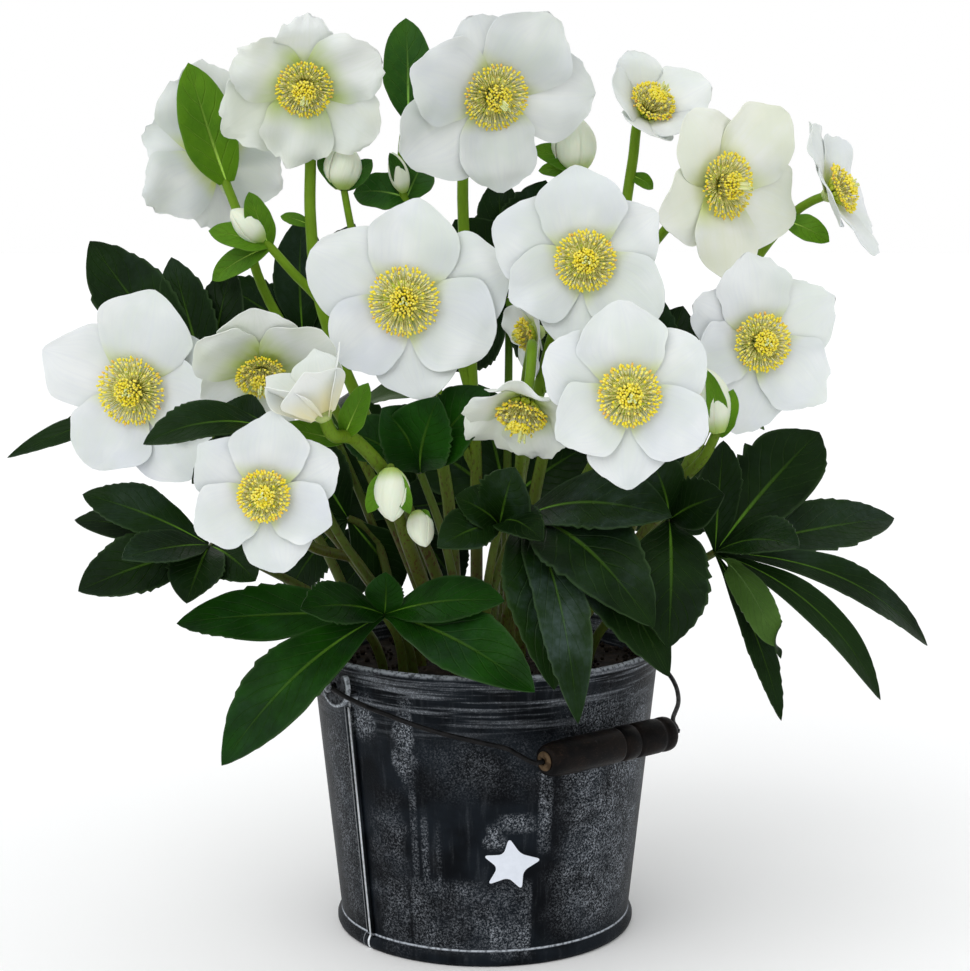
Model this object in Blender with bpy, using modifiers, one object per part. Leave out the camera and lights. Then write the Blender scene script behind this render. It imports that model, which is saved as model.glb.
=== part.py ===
# A white hellebore in a dark metal pail, with a wire bail and a turned wooden grip.
# Lengths are in millimetres and become metres through MM. +Z is up and the front is -Y.
import math
import random

import bmesh
import bpy
from mathutils import Vector

MM = 0.001

# The pail
PAIL_HEIGHT = 131.9
PAIL_TOP = 80.0
PAIL_FOOT = 65.4
WALL = 1.4
PAIL_SIDES = 36
SOIL_TOP = 120.0
SOIL_GAP = 0.35
ROOT_DEPTH = 98.0

# The bail turns about a line through both ears, at this angle and height
BAIL_ANGLE = 40.0
BAIL_HEIGHT = 122.0
BAIL_REST = -15.0
WIRE = 1.05
GRIP_REACH = 89.6
GRIP_FROM = -40.0
GRIP_TO = 32.0
GRIP_RADIUS = 7.6
BORE = 1.4

BLADE = 0.8
PETAL = 0.8
PETAL_FOOT = 4.3
JOIN = 0.3

# Each bloom: centre, turn to the right, turn up, how far the cup closes, petals, stamens.
# A petal is its angle seen from the front, its length and its layer.
BLOOMS = {
    "a": ((-123, 27, 347), -162, 12, 10,
          [(322, 36, 0), (18, 32, 1), (78, 44, 0), (138, 42, 1), (202, 34, 0), (262, 34, 1)], (12, 10)),
    "b": ((-78, -15, 379), 2, -22, 14,
          [(257, 36, 1), (209, 41, 0), (152, 34, 1), (88, 32, 0), (26, 37, 1), (325, 37, 0)], (12, 10)),
    "c": ((3, -15, 375), 18, -15, 12,
          [(216, 47, 0), (278, 42, 1), (4, 44, 0), (57, 42, 1), (108, 36, 0), (163, 42, 1)], (14, 10)),
    "d": ((72, 15, 368), 25, 35, 34,
          [(100, 29, 0), (172, 28, 1), (240, 29, 0), (300, 28, 1), (10, 31, 0.5)], (10, 13)),
    "e": ((100, -30, 336), 38, -2, 12,
          [(47, 42, 1), (342, 44, 0), (270, 41, 1), (203, 38, 0), (128, 38, 0.5)], (14, 10)),
    "f": ((152, -5, 332), 66, 22, 14,
          [(112, 33, 0), (45, 32, 1), (340, 34, 0), (270, 33, 1), (190, 31, 0.5)], (11, 10)),
    "g": ((-33, -80, 289), 0, 2, 12,
          [(80, 42, 1), (150, 42, 0), (222, 36, 1), (284, 40, 0), (335, 40, 1), (20, 44, 0)], (14, 10)),
    "h": ((40, -92, 306), 0, 2, 12,
          [(96, 38, 1), (157, 39, 0), (207, 34, 1), (262, 36, 0), (322, 37, 1), (32, 34, 0)], (12, 10)),
    "i": ((114, -62, 271), 14, 2, 12,
          [(100, 37, 1), (30, 36, 0), (318, 36, 1), (252, 39, 0), (192, 31, 1), (146, 33, 0)], (12, 10)),
    "j": ((56, -125, 255), 0, 4, 12,
          [(96, 37, 1), (154, 36, 0), (212, 33, 1), (268, 36, 0), (326, 34, 1), (34, 34, 0)], (12, 10)),
    "k": ((16, -104, 251), -18, -50, 32,
          [(80, 27, 0), (150, 27, 1), (215, 30, 0), (280, 28, 1), (350, 27, 0.5)], (10, 13)),
    "l": ((22, -34, 273), -70, -10, 20,
          [(90, 20, 0), (162, 20, 1), (234, 20, 0), (306, 20, 1), (18, 20, 0.5)], (7, 8)),
    "m": ((-147, -60, 251), -10, -3, 12,
          [(72, 45, 1), (155, 41, 0), (240, 37, 1), (306, 44, 0), (350, 36, 1), (28, 37, 0)], (14, 10)),
    "n": ((-92, -80, 262), 6, -35, 14,
          [(143, 32, 1), (95, 34, 0), (40, 36, 1), (345, 32, 0), (290, 28, 1), (217, 28, 0)], (10, 10)),
    "o": ((-87, -122, 215), 2, 5, 12,
          [(83, 34, 1), (140, 32, 0), (208, 30, 1), (282, 31, 0), (335, 29, 1), (25, 32, 0)], (10, 10)),
    "p": ((-64, -120, 247), -60, 62, 58,
          [(60, 30, 0), (130, 28, 1), (205, 29, 0), (275, 28, 1), (345, 30, 0.5)], None),
}

# Each stem node: where it stands, its routes, bracts and buds.
# A route is its start and end radius, its points and the bloom it carries.
# A bract is foot, tip, half width and arch; a bud is foot, tip and radius.
STEMS = {
    "a": ((-26, 14),
          [(2.6, 2.0, [(-30, 14, 150), (-60, 14, 220), (-97, 12, 283), (-108, 10, 316)], "a")],
          [((-116, 14, 337), (-130, -3, 389), 12, 3)], []),
    "b": ((-16, 0),
          [(3.0, 2.4, [(-22, 0, 160), (-50, -2, 225), (-72, -5, 280), (-77, -4, 320), (-77, -1, 352)], "b"),
           (2.4, 2.0, [(-66, -4, 264), (-72, -5, 283), (-85, -9, 298), (-97, -10, 312)], None)],
          [((-95, -10, 309), (-103, -15, 333), 6, 2), ((-95, -10, 310), (-121, -14, 316), 6.5, 2),
           ((-95, -10, 309), (-121, -4, 294), 6, 3), ((-77, -1, 318), (-91, 4, 322), 3, 2)],
          [((-97, -10, 312), (-111, -12, 325), 6)]),
    "c": ((-4, 14),
          [(3.0, 2.2, [(-4, 14, 200), (-6, 14, 250), (-10, 12, 330), (-7, 8, 360)], "c"),
           (2.2, 1.8, [(-5, 14, 235), (-20, 12, 288), (-36, 10, 330), (-37, 7, 350), (-34, 5, 369)], None),
           (2.0, 1.6, [(-4, 14, 205), (-25, 10, 250), (-52, 4, 285), (-59, 1, 315), (-63, 0, 337)], None)],
          [((-34, 5, 366), (-35, 10, 409), 11, 2), ((-35, 10, 330), (-59, 13, 332), 9, 3),
           ((-35, 10, 330), (-27, 13, 347), 9, 3), ((-62, 0, 334), (-74, 0, 348), 5, 2),
           ((-62, 0, 334), (-50, 2, 347), 5, 2), ((-37, 7, 335), (-42, -4, 350), 3.5, 2)],
          [((-63, 0, 334), (-63, 0, 355), 8), ((-36, 6, 333), (-41, 0, 350), 4)]),
    "d": ((16, 8),
          [(3.0, 2.2, [(20, 10, 180), (36, 15, 250), (58, 20, 300), (66, 21, 342)], "d"),
           (2.2, 1.8, [(50, 18, 279), (80, 2, 316), (87, -12, 330)], "e"),
           (2.2, 2.0, [(42, 17, 264), (43, 16, 320), (42, 12, 346)], None)],
          [((42, 12, 343), (21, 6, 352), 5.5, 2), ((42, 12, 343), (24, 14, 342), 4, 2),
           ((66, 21, 340), (76, 22, 334), 3.5, 2)],
          [((42, 12, 342), (36, 8, 368), 9.5)]),
    "f": ((30, -14),
          [(3.2, 2.4, [(42, -28, 145), (60, -54, 178), (78, -71, 207), (94, -62, 238), (108, -40, 262)], "i"),
           (2.4, 2.0, [(80, -70, 212), (90, -80, 224), (96, -86, 238)], None),
           (2.6, 2.0, [(48, -16, 150), (76, -18, 210), (101, -12, 270), (120, -4, 303), (136, 2, 322)], "f")],
          [((96, -85, 234), (101, -90, 254), 5, 3), ((134, 1, 320), (152, -6, 311), 6, 2),
           ((96, -85, 235), (90, -94, 262), 4, 4)],
          [((96, -86, 236), (90, -87, 262), 7.5)]),
    "g": ((-12, -24),
          [(3.0, 2.4, [(-16, -34, 200), (-28, -50, 262), (-33, -60, 282)], "g"),
           (3.4, 2.6, [(-14, -29, 140), (-24, -52, 160), (-34, -78, 194), (-38, -94, 216), (-52, -106, 235)], "p"),
           (1.8, 1.4, [(-33, -76, 192), (-30, -88, 200), (-27, -96, 204)], None),
           (1.8, 1.6, [(-38, -93, 214), (-38, -104, 224)], None)],
          [((-56, -110, 237), (-46, -116, 259), 5.5, 2), ((-57, -109, 235), (-82, -114, 241), 5, 1),
           ((-38, -104, 222), (-47, -110, 206), 4.5, 3), ((-38, -104, 223), (-30, -112, 206), 4, 3),
           ((-28, -94, 203), (-22, -98, 199), 3.5, 2)],
          [((-38, -104, 223), (-37, -111, 203), 7), ((-28, -94, 204), (-24, -101, 191), 5)]),
    "h": ((10, -16),
          [(3.2, 2.4, [(14, -24, 200), (28, -46, 268), (38, -68, 298)], "h"),
           (2.6, 2.2, [(11, -20, 150), (34, -50, 196), (50, -82, 232), (55, -103, 249)], "j"),
           (2.4, 2.0, [(15, -26, 206), (17, -58, 250), (19, -82, 270), (19, -92, 270)], "k"),
           (2.2, 1.8, [(24, -40, 249), (38, -30, 254), (40, -28, 266)], "l")],
          [], []),
    "m": ((-30, -6),
          [(3.0, 2.2, [(-44, -16, 150), (-72, -28, 190), (-112, -36, 226), (-138, -42, 244)], "m"),
           (2.4, 2.0, [(-70, -27, 188), (-86, -40, 228), (-93, -50, 262), (-93, -60, 271)], "n"),
           (2.4, 2.0, [(-60, -23, 173), (-74, -50, 182), (-84, -82, 198), (-87, -104, 210)], "o")],
          [], []),
}

# Each leaf node: leaves, each with its foot in the soil or on another leaf stalk, the stalk's
# points up to the hub, the way its upper face looks, and leaflets as tip, half width and arch.
LEAVES = {
    "a": [((-36, -36), [(-38, -42, 140), (-43, -58, 154)], (0.0, -0.75, 0.65),
           [((-132, -58, 150), 13, 6), ((-109, -96, 98), 15, 16), ((-76, -92, 163), 12, 3),
            ((-42, -66, 174), 8, 2), ((8, -94, 167), 12, 4), ((20, -120, 135), 15, 8)])],
    "b": [((-9, -54), [(-12, -58, 160), (-18, -63, 190), (-27, -70, 217)], (0.0, -0.8, 0.6),
           [((-42, -86, 246), 14, 4), ((-19, -92, 251), 14, 4), ((2, -88, 254), 14, 5),
            ((-60, -70, 236), 12, 4)])],
    "c": [((-2, -44), [(-1, -52, 150), (3, -74, 182), (6, -88, 197)], (0.0, -0.8, 0.6),
           [((-19, -116, 193), 10, 5), ((23, -124, 197), 9, 6), ((12, -106, 224), 12, 3),
            ((-12, -100, 211), 10, 3)]),
          (None, [(-1, -52, 150), (7, -63, 178), (15, -72, 198)], (0.1, -0.75, 0.65),
           [((74, -120, 206), 17, 8), ((66, -138, 165), 18, 16), ((27, -142, 141), 15, 16),
            ((36, -152, 130), 11, 22), ((73, -128, 143), 16, 20)])],
    "d": [((38, -34), [(44, -42, 150), (64, -70, 184), (76, -84, 199)], (0.1, -0.85, 0.5),
           [((72, -134, 156), 16, 10), ((65, -99, 230), 10.5, 3), ((97, -100, 212), 11, 3)])],
    "e": [((46, -18), [(56, -26, 146), (84, -48, 170), (98, -58, 181)], (0.1, -0.7, 0.7),
           [((146, -28, 229), 18, 4), ((182, -16, 189), 13, 5), ((128, -98, 190), 13, 4),
            ((190, -56, 140), 8.5, 19), ((166, -80, 122), 7.5, 19), ((120, -108, 146), 7, 8),
            ((124, -84, 114), 6, 8), ((100, -66, 230), 10, 2)])],
    "f": [((-46, -20), [(-58, -28, 146), (-96, -44, 172), (-118, -52, 183)], (-0.1, -0.75, 0.65),
           [((-172, -52, 205), 11, 6), ((-178, -40, 192), 8, 5), ((-170, -78, 168), 15, 4),
            ((-149, -92, 184), 11, 3), ((-124, -84, 164), 12, 4), ((-96, -76, 172), 12, 3)]),
          (None, [(-55, -26, 142), (-74, -10, 178), (-100, -6, 212), (-122, -6, 238)], (-0.2, -0.8, 0.55),
           [((-177, 8, 311), 17, 2), ((-140, 4, 304), 12, 3), ((-113, 4, 300), 12, 3),
            ((-212, -14, 216), 6, 10), ((-182, -20, 246), 11, 4), ((-150, -26, 214), 12, 4)])],
    "g": [((-32, -28), [(-40, -38, 150), (-62, -64, 190), (-76, -84, 226), (-86, -94, 238)],
           (-0.1, -0.6, 0.8),
           [((-136, -112, 234), 11, 8), ((-118, -104, 217), 8, 4), ((-108, -84, 246), 8, 3)])],
    "h": [((-40, 26), [(-50, 34, 170), (-72, 36, 225), (-84, 34, 262)], (0.0, -0.8, 0.6),
           [((-84, 34, 322), 12, 3), ((-60, 40, 318), 12, 3), ((-124, 30, 292), 12, 4),
            ((-52, 30, 284), 13, 4), ((-104, 30, 246), 13, 4)]),
          (None, [(-50, 34, 170), (-57, 32, 178), (-64, 30, 182)], (-0.1, -0.85, 0.5),
           [((-118, 28, 204), 14, 4), ((-116, 26, 168), 13, 4), ((-84, 26, 222), 13, 4),
            ((-92, 24, 146), 12, 5), ((-40, 42, 146), 12, 3)])],
    "i": [((8, 32), [(10, 36, 180), (11, 38, 250), (11, 38, 284)], (0.0, -0.85, 0.5),
           [((-14, 34, 320), 15, 3), ((28, 38, 338), 14, 3), ((6, 45, 340), 10, 3),
            ((40, 36, 300), 12, 3), ((-18, 36, 288), 12, 3),
            ((-18, 46, 250), 13, 2), ((34, 46, 248), 13, 2)]),
          (None, [(10, 36, 176), (10, 38, 182), (10, 40, 188)], (0.0, -0.95, 0.3),
           [((-40, 42, 222), 14, 1), ((-44, 42, 184), 13, 1), ((50, 38, 216), 13, 1),
            ((46, 38, 176), 12, 1), ((-4, 40, 244), 13, 2)])],
    "j": [((40, 2), [(46, 0, 170), (62, -20, 215), (68, -34, 238)], (0.1, -0.8, 0.6),
           [((94, -66, 259), 8, 14), ((72, -42, 292), 11, 3), ((52, -46, 262), 10, 3),
            ((86, -26, 284), 14, 3)])],
    "k": [((30, 34), [(40, 44, 170), (66, 62, 205), (84, 72, 218)], (0.3, 0.5, 0.8),
           [((150, 60, 230), 12, 12), ((140, 110, 214), 12, 12), ((92, 136, 220), 12, 12),
            ((48, 120, 232), 11, 10), ((112, 44, 256), 11, 4)]),
          (None, [(40, 44, 170), (47, 42, 178), (54, 40, 184)], (0.1, -0.85, 0.5),
           [((106, 34, 214), 14, 4), ((108, 32, 178), 13, 4), ((74, 36, 236), 12, 4)])],
    "l": [((-26, 40), [(-34, 52, 170), (-56, 72, 205), (-70, 82, 216)], (-0.3, 0.5, 0.8),
           [((-140, 66, 226), 12, 12), ((-126, 118, 210), 12, 12), ((-76, 144, 216), 12, 12),
            ((-26, 124, 230), 11, 10), ((-104, 52, 254), 11, 4)]),
          (None, [(-34, 52, 170), (-37, 54, 176), (-38, 56, 180)], (0.0, -0.95, 0.3),
           [((-86, 62, 200), 14, 1), ((-64, 60, 236), 14, 1), ((-22, 58, 240), 13, 1), ((4, 58, 204), 13, 1),
            ((-70, 56, 142), 13, 1), ((-12, 56, 144), 13, 1)])],
    "m": [((4, 48), [(6, 66, 160), (8, 88, 180)], (0.0, 0.7, 0.7),
           [((-48, 112, 172), 11, 12), ((-20, 146, 160), 12, 14), ((36, 148, 160), 12, 14),
            ((62, 108, 172), 11, 12), ((10, 120, 222), 11, 6)]),
          (None, [(6, 66, 160), (14, 70, 166), (20, 72, 170)], (0.0, -0.95, 0.3),
           [((66, 76, 176), 14, 1), ((58, 80, 218), 14, 1), ((22, 76, 226), 13, 1),
            ((60, 66, 142), 13, 1)])],
}

rng = random.Random(11)


def clear():
    for ob in list(bpy.data.objects):
        bpy.data.objects.remove(ob)


def paint(name, colour, rough, metal=0.0):
    mat = bpy.data.materials.new(name)
    mat.use_nodes = True
    shader = mat.node_tree.nodes["Principled BSDF"]
    shader.inputs["Base Color"].default_value = (*colour, 1)
    shader.inputs["Roughness"].default_value = rough
    shader.inputs["Metallic"].default_value = metal
    return mat


def unit(v):
    return Vector(v).normalized()


def facing(turn, rise):
    y, p = math.radians(turn), math.radians(rise)
    front = Vector((math.sin(y) * math.cos(p), -math.cos(y) * math.cos(p), math.sin(p)))
    right = Vector((math.cos(y), math.sin(y), 0))
    return right, front.cross(right), front


clear()
plant = bpy.data.collections.new("hellebore_plant")
cutters = bpy.data.collections.new("cutters")
bpy.context.scene.collection.children.link(plant)
bpy.context.scene.collection.children.link(cutters)


def addMesh(name, bm, home=None, scale=True):
    if scale:
        bmesh.ops.scale(bm, vec=(MM, MM, MM), verts=bm.verts)
    mesh = bpy.data.meshes.new(name)
    bm.to_mesh(mesh)
    bm.free()
    ob = bpy.data.objects.new(name, mesh)
    (home or plant).objects.link(ob)
    return ob


def applyAll(ob):
    deps = bpy.context.evaluated_depsgraph_get()
    mesh = bpy.data.meshes.new_from_object(ob.evaluated_get(deps))
    old = ob.data
    ob.modifiers.clear()
    if ob.type == "MESH":
        ob.data = mesh
        return ob
    fresh = bpy.data.objects.new(ob.name, mesh)
    home = ob.users_collection[0]
    name = ob.name
    bpy.data.objects.remove(ob)
    bpy.data.curves.remove(old)
    fresh.name = name
    home.objects.link(fresh)
    return fresh


def join(ob, parts, solver="MANIFOLD", operation="UNION"):
    """Joins the parts into ob with one Boolean on a collection."""
    pool = bpy.data.collections.new("pool")
    bpy.context.scene.collection.children.link(pool)
    for part in parts:
        for c in list(part.users_collection):
            c.objects.unlink(part)
        pool.objects.link(part)
    mod = ob.modifiers.new("join", "BOOLEAN")
    mod.operation = operation
    mod.operand_type = "COLLECTION"
    mod.collection = pool
    mod.solver = solver
    applyAll(ob)
    for part in parts:
        bpy.data.objects.remove(part)
    bpy.data.collections.remove(pool)
    return ob


def finish(ob, mat):
    ob.data.materials.clear()
    ob.data.materials.append(mat)
    for poly in ob.data.polygons:
        poly.use_smooth = False
    return ob


def tube(name, points, start, end, round_=1):
    """A bent rod with a round section that thins evenly along the points."""
    curve = bpy.data.curves.new(name, "CURVE")
    curve.dimensions = "3D"
    curve.bevel_depth = MM
    curve.bevel_resolution = round_
    curve.use_fill_caps = True
    line = curve.splines.new("POLY")
    line.points.add(len(points) - 1)
    for k, p in enumerate(points):
        line.points[k].co = (*(Vector(p) * MM), 1)
        line.points[k].radius = start + (end - start) * k / (len(points) - 1)
    ob = bpy.data.objects.new(name, curve)
    plant.objects.link(ob)
    ob = applyAll(ob)
    bm = bmesh.new()
    bm.from_mesh(ob.data)
    bmesh.ops.remove_doubles(bm, verts=bm.verts, dist=1e-6)
    bmesh.ops.recalc_face_normals(bm, faces=bm.faces)
    bm.to_mesh(ob.data)
    bm.free()
    return ob


def ball(name, centre, radius, axis=(0, 0, 1), stretch=1.0, sides=5, rings=3):
    bm = bmesh.new()
    bmesh.ops.create_uvsphere(bm, u_segments=sides, v_segments=rings, radius=radius)
    turn = Vector((0, 0, 1)).rotation_difference(unit(axis))
    for v in bm.verts:
        v.co = turn @ Vector((v.co.x, v.co.y, v.co.z * stretch)) + Vector(centre)
    return addMesh(name, bm)


def bud(name, foot, tip, radius):
    """An egg with a blunt foot and a drawn-out tip."""
    foot, tip = Vector(foot), Vector(tip)
    length = (tip - foot).length
    turn = Vector((0, 0, 1)).rotation_difference(unit(tip - foot))
    bm = bmesh.new()
    bmesh.ops.create_uvsphere(bm, u_segments=7, v_segments=5, radius=1)
    for v in bm.verts:
        t = v.co.z
        wide = radius * (1 - 0.22 * t) * (1.0 if t < 0.9 else 0.8)
        v.co = turn @ Vector((v.co.x * wide, v.co.y * wide, (t + 1) * length / 2)) + foot
    return addMesh(name, bm)


def sheet(name, across, along, place, thick):
    """A grid bent by place(u, v), split into triangles alike on both faces and made solid."""
    bm = bmesh.new()
    bmesh.ops.create_grid(bm, x_segments=across, y_segments=along, size=1)
    for v in bm.verts:
        v.co = place((v.co.y + 1) / 2, v.co.x)
    bmesh.ops.remove_doubles(bm, verts=bm.verts, dist=0.02)
    bmesh.ops.triangulate(bm, faces=bm.faces)
    ob = addMesh(name, bm)
    solid = ob.modifiers.new("solid", "SOLIDIFY")
    solid.thickness = thick * MM
    solid.offset = 0
    applyAll(ob)
    bm = bmesh.new()
    bm.from_mesh(ob.data)
    bmesh.ops.recalc_face_normals(bm, faces=bm.faces)
    bm.to_mesh(ob.data)
    bm.free()
    return ob


# How wide a blade is along its length: a toothed leaflet and a plain bract
TOOTHED = [(0, 0.09), (0.28, 0.72), (0.54, 1.0), (0.62, 0.93), (0.82, 0.68), (1, 0)]
TOOTHED_BACK = [(0, 0.09), (0.32, 0.84), (0.68, 0.92), (1, 0)]
PLAIN = [(0, 0.3), (0.3, 0.92), (0.68, 0.86), (1, 0)]


def blade(name, foot, tip, half, arch, face, rows):
    """A blade from foot to tip, bowed towards its face, with its halves folded up a little."""
    foot, tip, face = Vector(foot), Vector(tip), unit(face)
    run = tip - foot
    face = unit(face - face.project(run))
    side = unit(run.cross(face))
    crown = foot + run * 0.5 + face * arch * 2

    def place(u, v):
        k = round(u * (len(rows) - 1))
        t, w = rows[k]
        mid = foot * (1 - t) ** 2 + crown * (2 * t * (1 - t)) + tip * t * t
        wide = half * w
        return mid + side * (v * wide) + face * (abs(v) * wide * 0.22)

    return sheet(name, 2, len(rows) - 1, place, BLADE)


def petalWidth(u):
    if u < 0.58:
        return 0.16 + 0.84 * math.sin(math.pi / 2 * u / 0.58)
    return math.sqrt(1 - ((u - 0.58) / 0.42 * 0.9) ** 2)


def petal(name, centre, axes, angle, length, layer, lift, wide=0.43):
    """One petal: it leaves the centre, rises by the cup's angle and flattens to its tip."""
    rows = [0, 0.38, 0.78, 1]
    right, up, front = axes
    a = math.radians(angle)
    out = right * math.cos(a) + up * math.sin(a)
    side = up * math.cos(a) - right * math.sin(a)
    half = length * wide

    def place(u, v):
        u = rows[round(u * (len(rows) - 1))]
        rise = math.radians(lift + 5 * layer + 6 * (0.5 - u))
        s = (length - PETAL_FOOT) * u - (0.09 * length * abs(v) if u > 0.9 else 0)
        w = half * petalWidth(u)
        high = -0.9 + 1.2 * layer + s * math.sin(rise) + 0.08 * w * v * v
        return centre + out * (PETAL_FOOT + s * math.cos(rise)) + side * (w * v) + front * high

    return sheet(name, 2, len(rows) - 1, place, PETAL)


def bloomPetals(key):
    centre, turn, rise, lift, petals, boss = BLOOMS[key]
    centre = Vector(centre)
    axes = facing(turn, rise)
    turned = Vector((0, 0, 1)).rotation_difference(axes[2])
    bm = bmesh.new()
    bmesh.ops.create_cone(bm, cap_ends=True, segments=8, radius1=5.0, radius2=5.3, depth=3.6)
    for v in bm.verts:
        v.co = turned @ (v.co + Vector((0, 0, -0.4))) + centre
    disc = addMesh("bloom_" + key + "_petals", bm)
    wide = 0.4 if boss is None else 0.43
    parts = [petal("petal", centre, axes, a, length, layer, lift, wide) for a, length, layer in petals]
    return join(disc, parts)


def stamen(name, centre, axes, angle, spread, rise, thick):
    """A thin filament from the middle with a thicker anther at its end."""
    right, up, front = axes
    out = right * math.cos(angle) + up * math.sin(angle)
    foot = centre + out * 1.5 + front * 4.2
    tip = centre + out * spread + front * rise
    run = tip - foot
    bm = bmesh.new()
    bmesh.ops.create_cone(
        bm, cap_ends=True, segments=3, radius1=thick * 0.55, radius2=thick * 1.3, depth=run.length)
    turned = Vector((0, 0, 1)).rotation_difference(unit(run))
    for v in bm.verts:
        v.co = foot + run / 2 + turned @ v.co
    return addMesh(name, bm)


def bloomStamens(key):
    centre, turn, rise, lift, petals, (spread, high) = BLOOMS[key]
    centre = Vector(centre)
    axes = facing(turn, rise)
    turned = Vector((0, 0, 1)).rotation_difference(axes[2])
    bm = bmesh.new()
    bmesh.ops.create_cone(bm, cap_ends=True, segments=6, radius1=3.4, radius2=3.8, depth=high - 3.2)
    foot = 1.4 + JOIN
    for v in bm.verts:
        v.co = turned @ (v.co + Vector((0, 0, foot + (high - 3.2) / 2))) + centre
    core = addMesh("bloom_" + key + "_stamens", bm)
    count = 12 if spread > 9 else 10
    parts = []
    for k in range(count):
        far = spread * (1.0 if k % 2 else 0.86)
        parts.append(stamen("s", centre, axes, 2 * math.pi * k / count + 0.1, far, high + (k % 2) * 0.6, 1.0))
    return join(core, parts)


def neck(key):
    centre, turn, rise = BLOOMS[key][:3]
    front = facing(turn, rise)[2]
    centre = Vector(centre)
    return [tuple(centre - front * 10), tuple(centre - front * (2.2 + JOIN))]


def rootPoints(x, y):
    return [(x, y, ROOT_DEPTH), (x, y, SOIL_TOP + 4)]


def stemNode(key):
    (x, y), routes, bracts, buds = STEMS[key]
    parts = []
    for k, (start, end, points, bloom) in enumerate(routes):
        line = list(points)
        if k == 0 or (line[0][2] < 160):
            line = rootPoints(x, y) + line
        if bloom:
            line = line + neck(bloom)
        parts.append(tube("route", line, start, end))
    for foot, tip, half, arch in bracts:
        parts.append(blade("bract", foot, tip, half, arch, (0, -0.9, 0.4), PLAIN))
    for foot, tip, radius in buds:
        parts.append(bud("bud", foot, tip, radius))
    parts[0].name = "stem_" + key
    return join(parts[0], parts[1:]) if len(parts) > 1 else parts[0]


def leafNode(key):
    parts = []
    for place, points, face, leaflets in LEAVES[key]:
        line = rootPoints(*place) + list(points) if place else list(points)
        parts.append(tube("stalk", line, 2.4, 1.8))
        hub = Vector(points[-1])
        parts.append(ball("hub", hub, 3.0))
        for tip, half, arch in leaflets:
            foot = hub + unit(Vector(tip) - hub) * 1.8
            rows = TOOTHED_BACK if key in "hijklm" else TOOTHED
            parts.append(blade("leaflet", foot, tip, half, arch, face, rows))
    parts[0].name = "leaf_" + key
    return join(parts[0], parts[1:])


def lathe(name, profile, sides, home=None):
    """Turns a profile that runs down its outer side at +X about the Z axis."""
    bm = bmesh.new()
    verts = [bm.verts.new((x * MM, 0, z * MM)) for x, z in profile]
    for a, b in zip(verts, verts[1:]):
        bm.edges.new((a, b))
    ob = addMesh(name, bm, home, scale=False)
    screw = ob.modifiers.new("turn", "SCREW")
    screw.steps = sides
    screw.render_steps = sides
    screw.use_merge_vertices = True
    screw.merge_threshold = 0.00001
    screw.use_smooth_shade = False
    applyAll(ob)
    bm = bmesh.new()
    bm.from_mesh(ob.data)
    bmesh.ops.remove_doubles(bm, verts=bm.verts, dist=1e-6)
    bmesh.ops.recalc_face_normals(bm, faces=bm.faces)
    bm.to_mesh(ob.data)
    bm.free()
    return ob


def wallRadius(z):
    return PAIL_FOOT + (PAIL_TOP - 0.6 - PAIL_FOOT) * z / PAIL_HEIGHT


def makePail():
    inner = wallRadius(2.0) - WALL
    top = PAIL_HEIGHT
    profile = [
        (0, 2.0), (inner, 2.0), (wallRadius(top - 4) - WALL, top - 4), (wallRadius(top) - WALL, top - 1),
        (wallRadius(top) - 0.5, top), (wallRadius(top) + 1.2, top - 0.8), (wallRadius(top) + 1.4, top - 2.2),
        (wallRadius(top - 4), top - 3.6), (wallRadius(7), 7), (wallRadius(6) + 1.4, 6),
        (wallRadius(3) + 2.0, 4), (wallRadius(3) + 2.0, 1.6), (wallRadius(0) + 1.2, 0), (0, 0),
    ]
    pail = lathe("pail", profile, PAIL_SIDES)
    # the folded seam down the side
    a = math.radians(BAIL_ANGLE + 181)
    out = Vector((math.cos(a), math.sin(a), 0))
    bm = bmesh.new()
    bmesh.ops.create_cube(bm, size=1)
    low, high = 5.0, 106.0
    side = Vector((-out.y, out.x, 0))
    for v in bm.verts:
        z = low if v.co.z < 0 else high
        r = wallRadius(z) + (0.8 if v.co.x > 0 else -0.7)
        v.co = out * r + side * (v.co.y * 3.4) + Vector((0, 0, z))
    seam = addMesh("seam", bm)
    return join(pail, [seam])


def makeSoil():
    low = 2.0 + SOIL_GAP
    gap = WALL + SOIL_GAP
    profile = [
        (0, SOIL_TOP + 1), (30, SOIL_TOP + 0.5), (wallRadius(SOIL_TOP - 2) - gap - 3, SOIL_TOP - 1),
        (wallRadius(SOIL_TOP - 3) - gap, SOIL_TOP - 3), (wallRadius(low) - gap, low), (0, low),
    ]
    soil = lathe("soil", profile, 24)
    holes = []
    places = [(STEMS[k][0], 3.4) for k in STEMS]
    places += [(leaf[0], 2.4) for k in LEAVES for leaf in LEAVES[k] if leaf[0]]
    for (x, y), radius in places:
        bm = bmesh.new()
        wide = (radius + 0.35) / math.cos(math.pi / 6)
        bmesh.ops.create_cone(bm, cap_ends=True, segments=6, radius1=wide, radius2=wide, depth=40)
        for v in bm.verts:
            v.co += Vector((x, y, ROOT_DEPTH - 0.4 + 20))
        hole = addMesh("hole", bm, cutters)
        hole.display_type = "WIRE"
        hole.hide_render = True
        holes.append(hole)
    return join(soil, holes, operation="DIFFERENCE")


# The bail's own directions: along its axis, outward at rest, and square to both
A = math.radians(BAIL_ANGLE)
REST = math.radians(BAIL_REST)
ALONG = Vector((math.cos(A), math.sin(A), 0))
OUT = Vector((math.sin(A) * math.cos(REST), -math.cos(A) * math.cos(REST), math.sin(REST)))
PIVOT = Vector((0, 0, BAIL_HEIGHT))
FLAT = Vector((math.sin(A), -math.cos(A), 0))


def bailPoint(s, r):
    return PIVOT + ALONG * s + OUT * r


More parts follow.
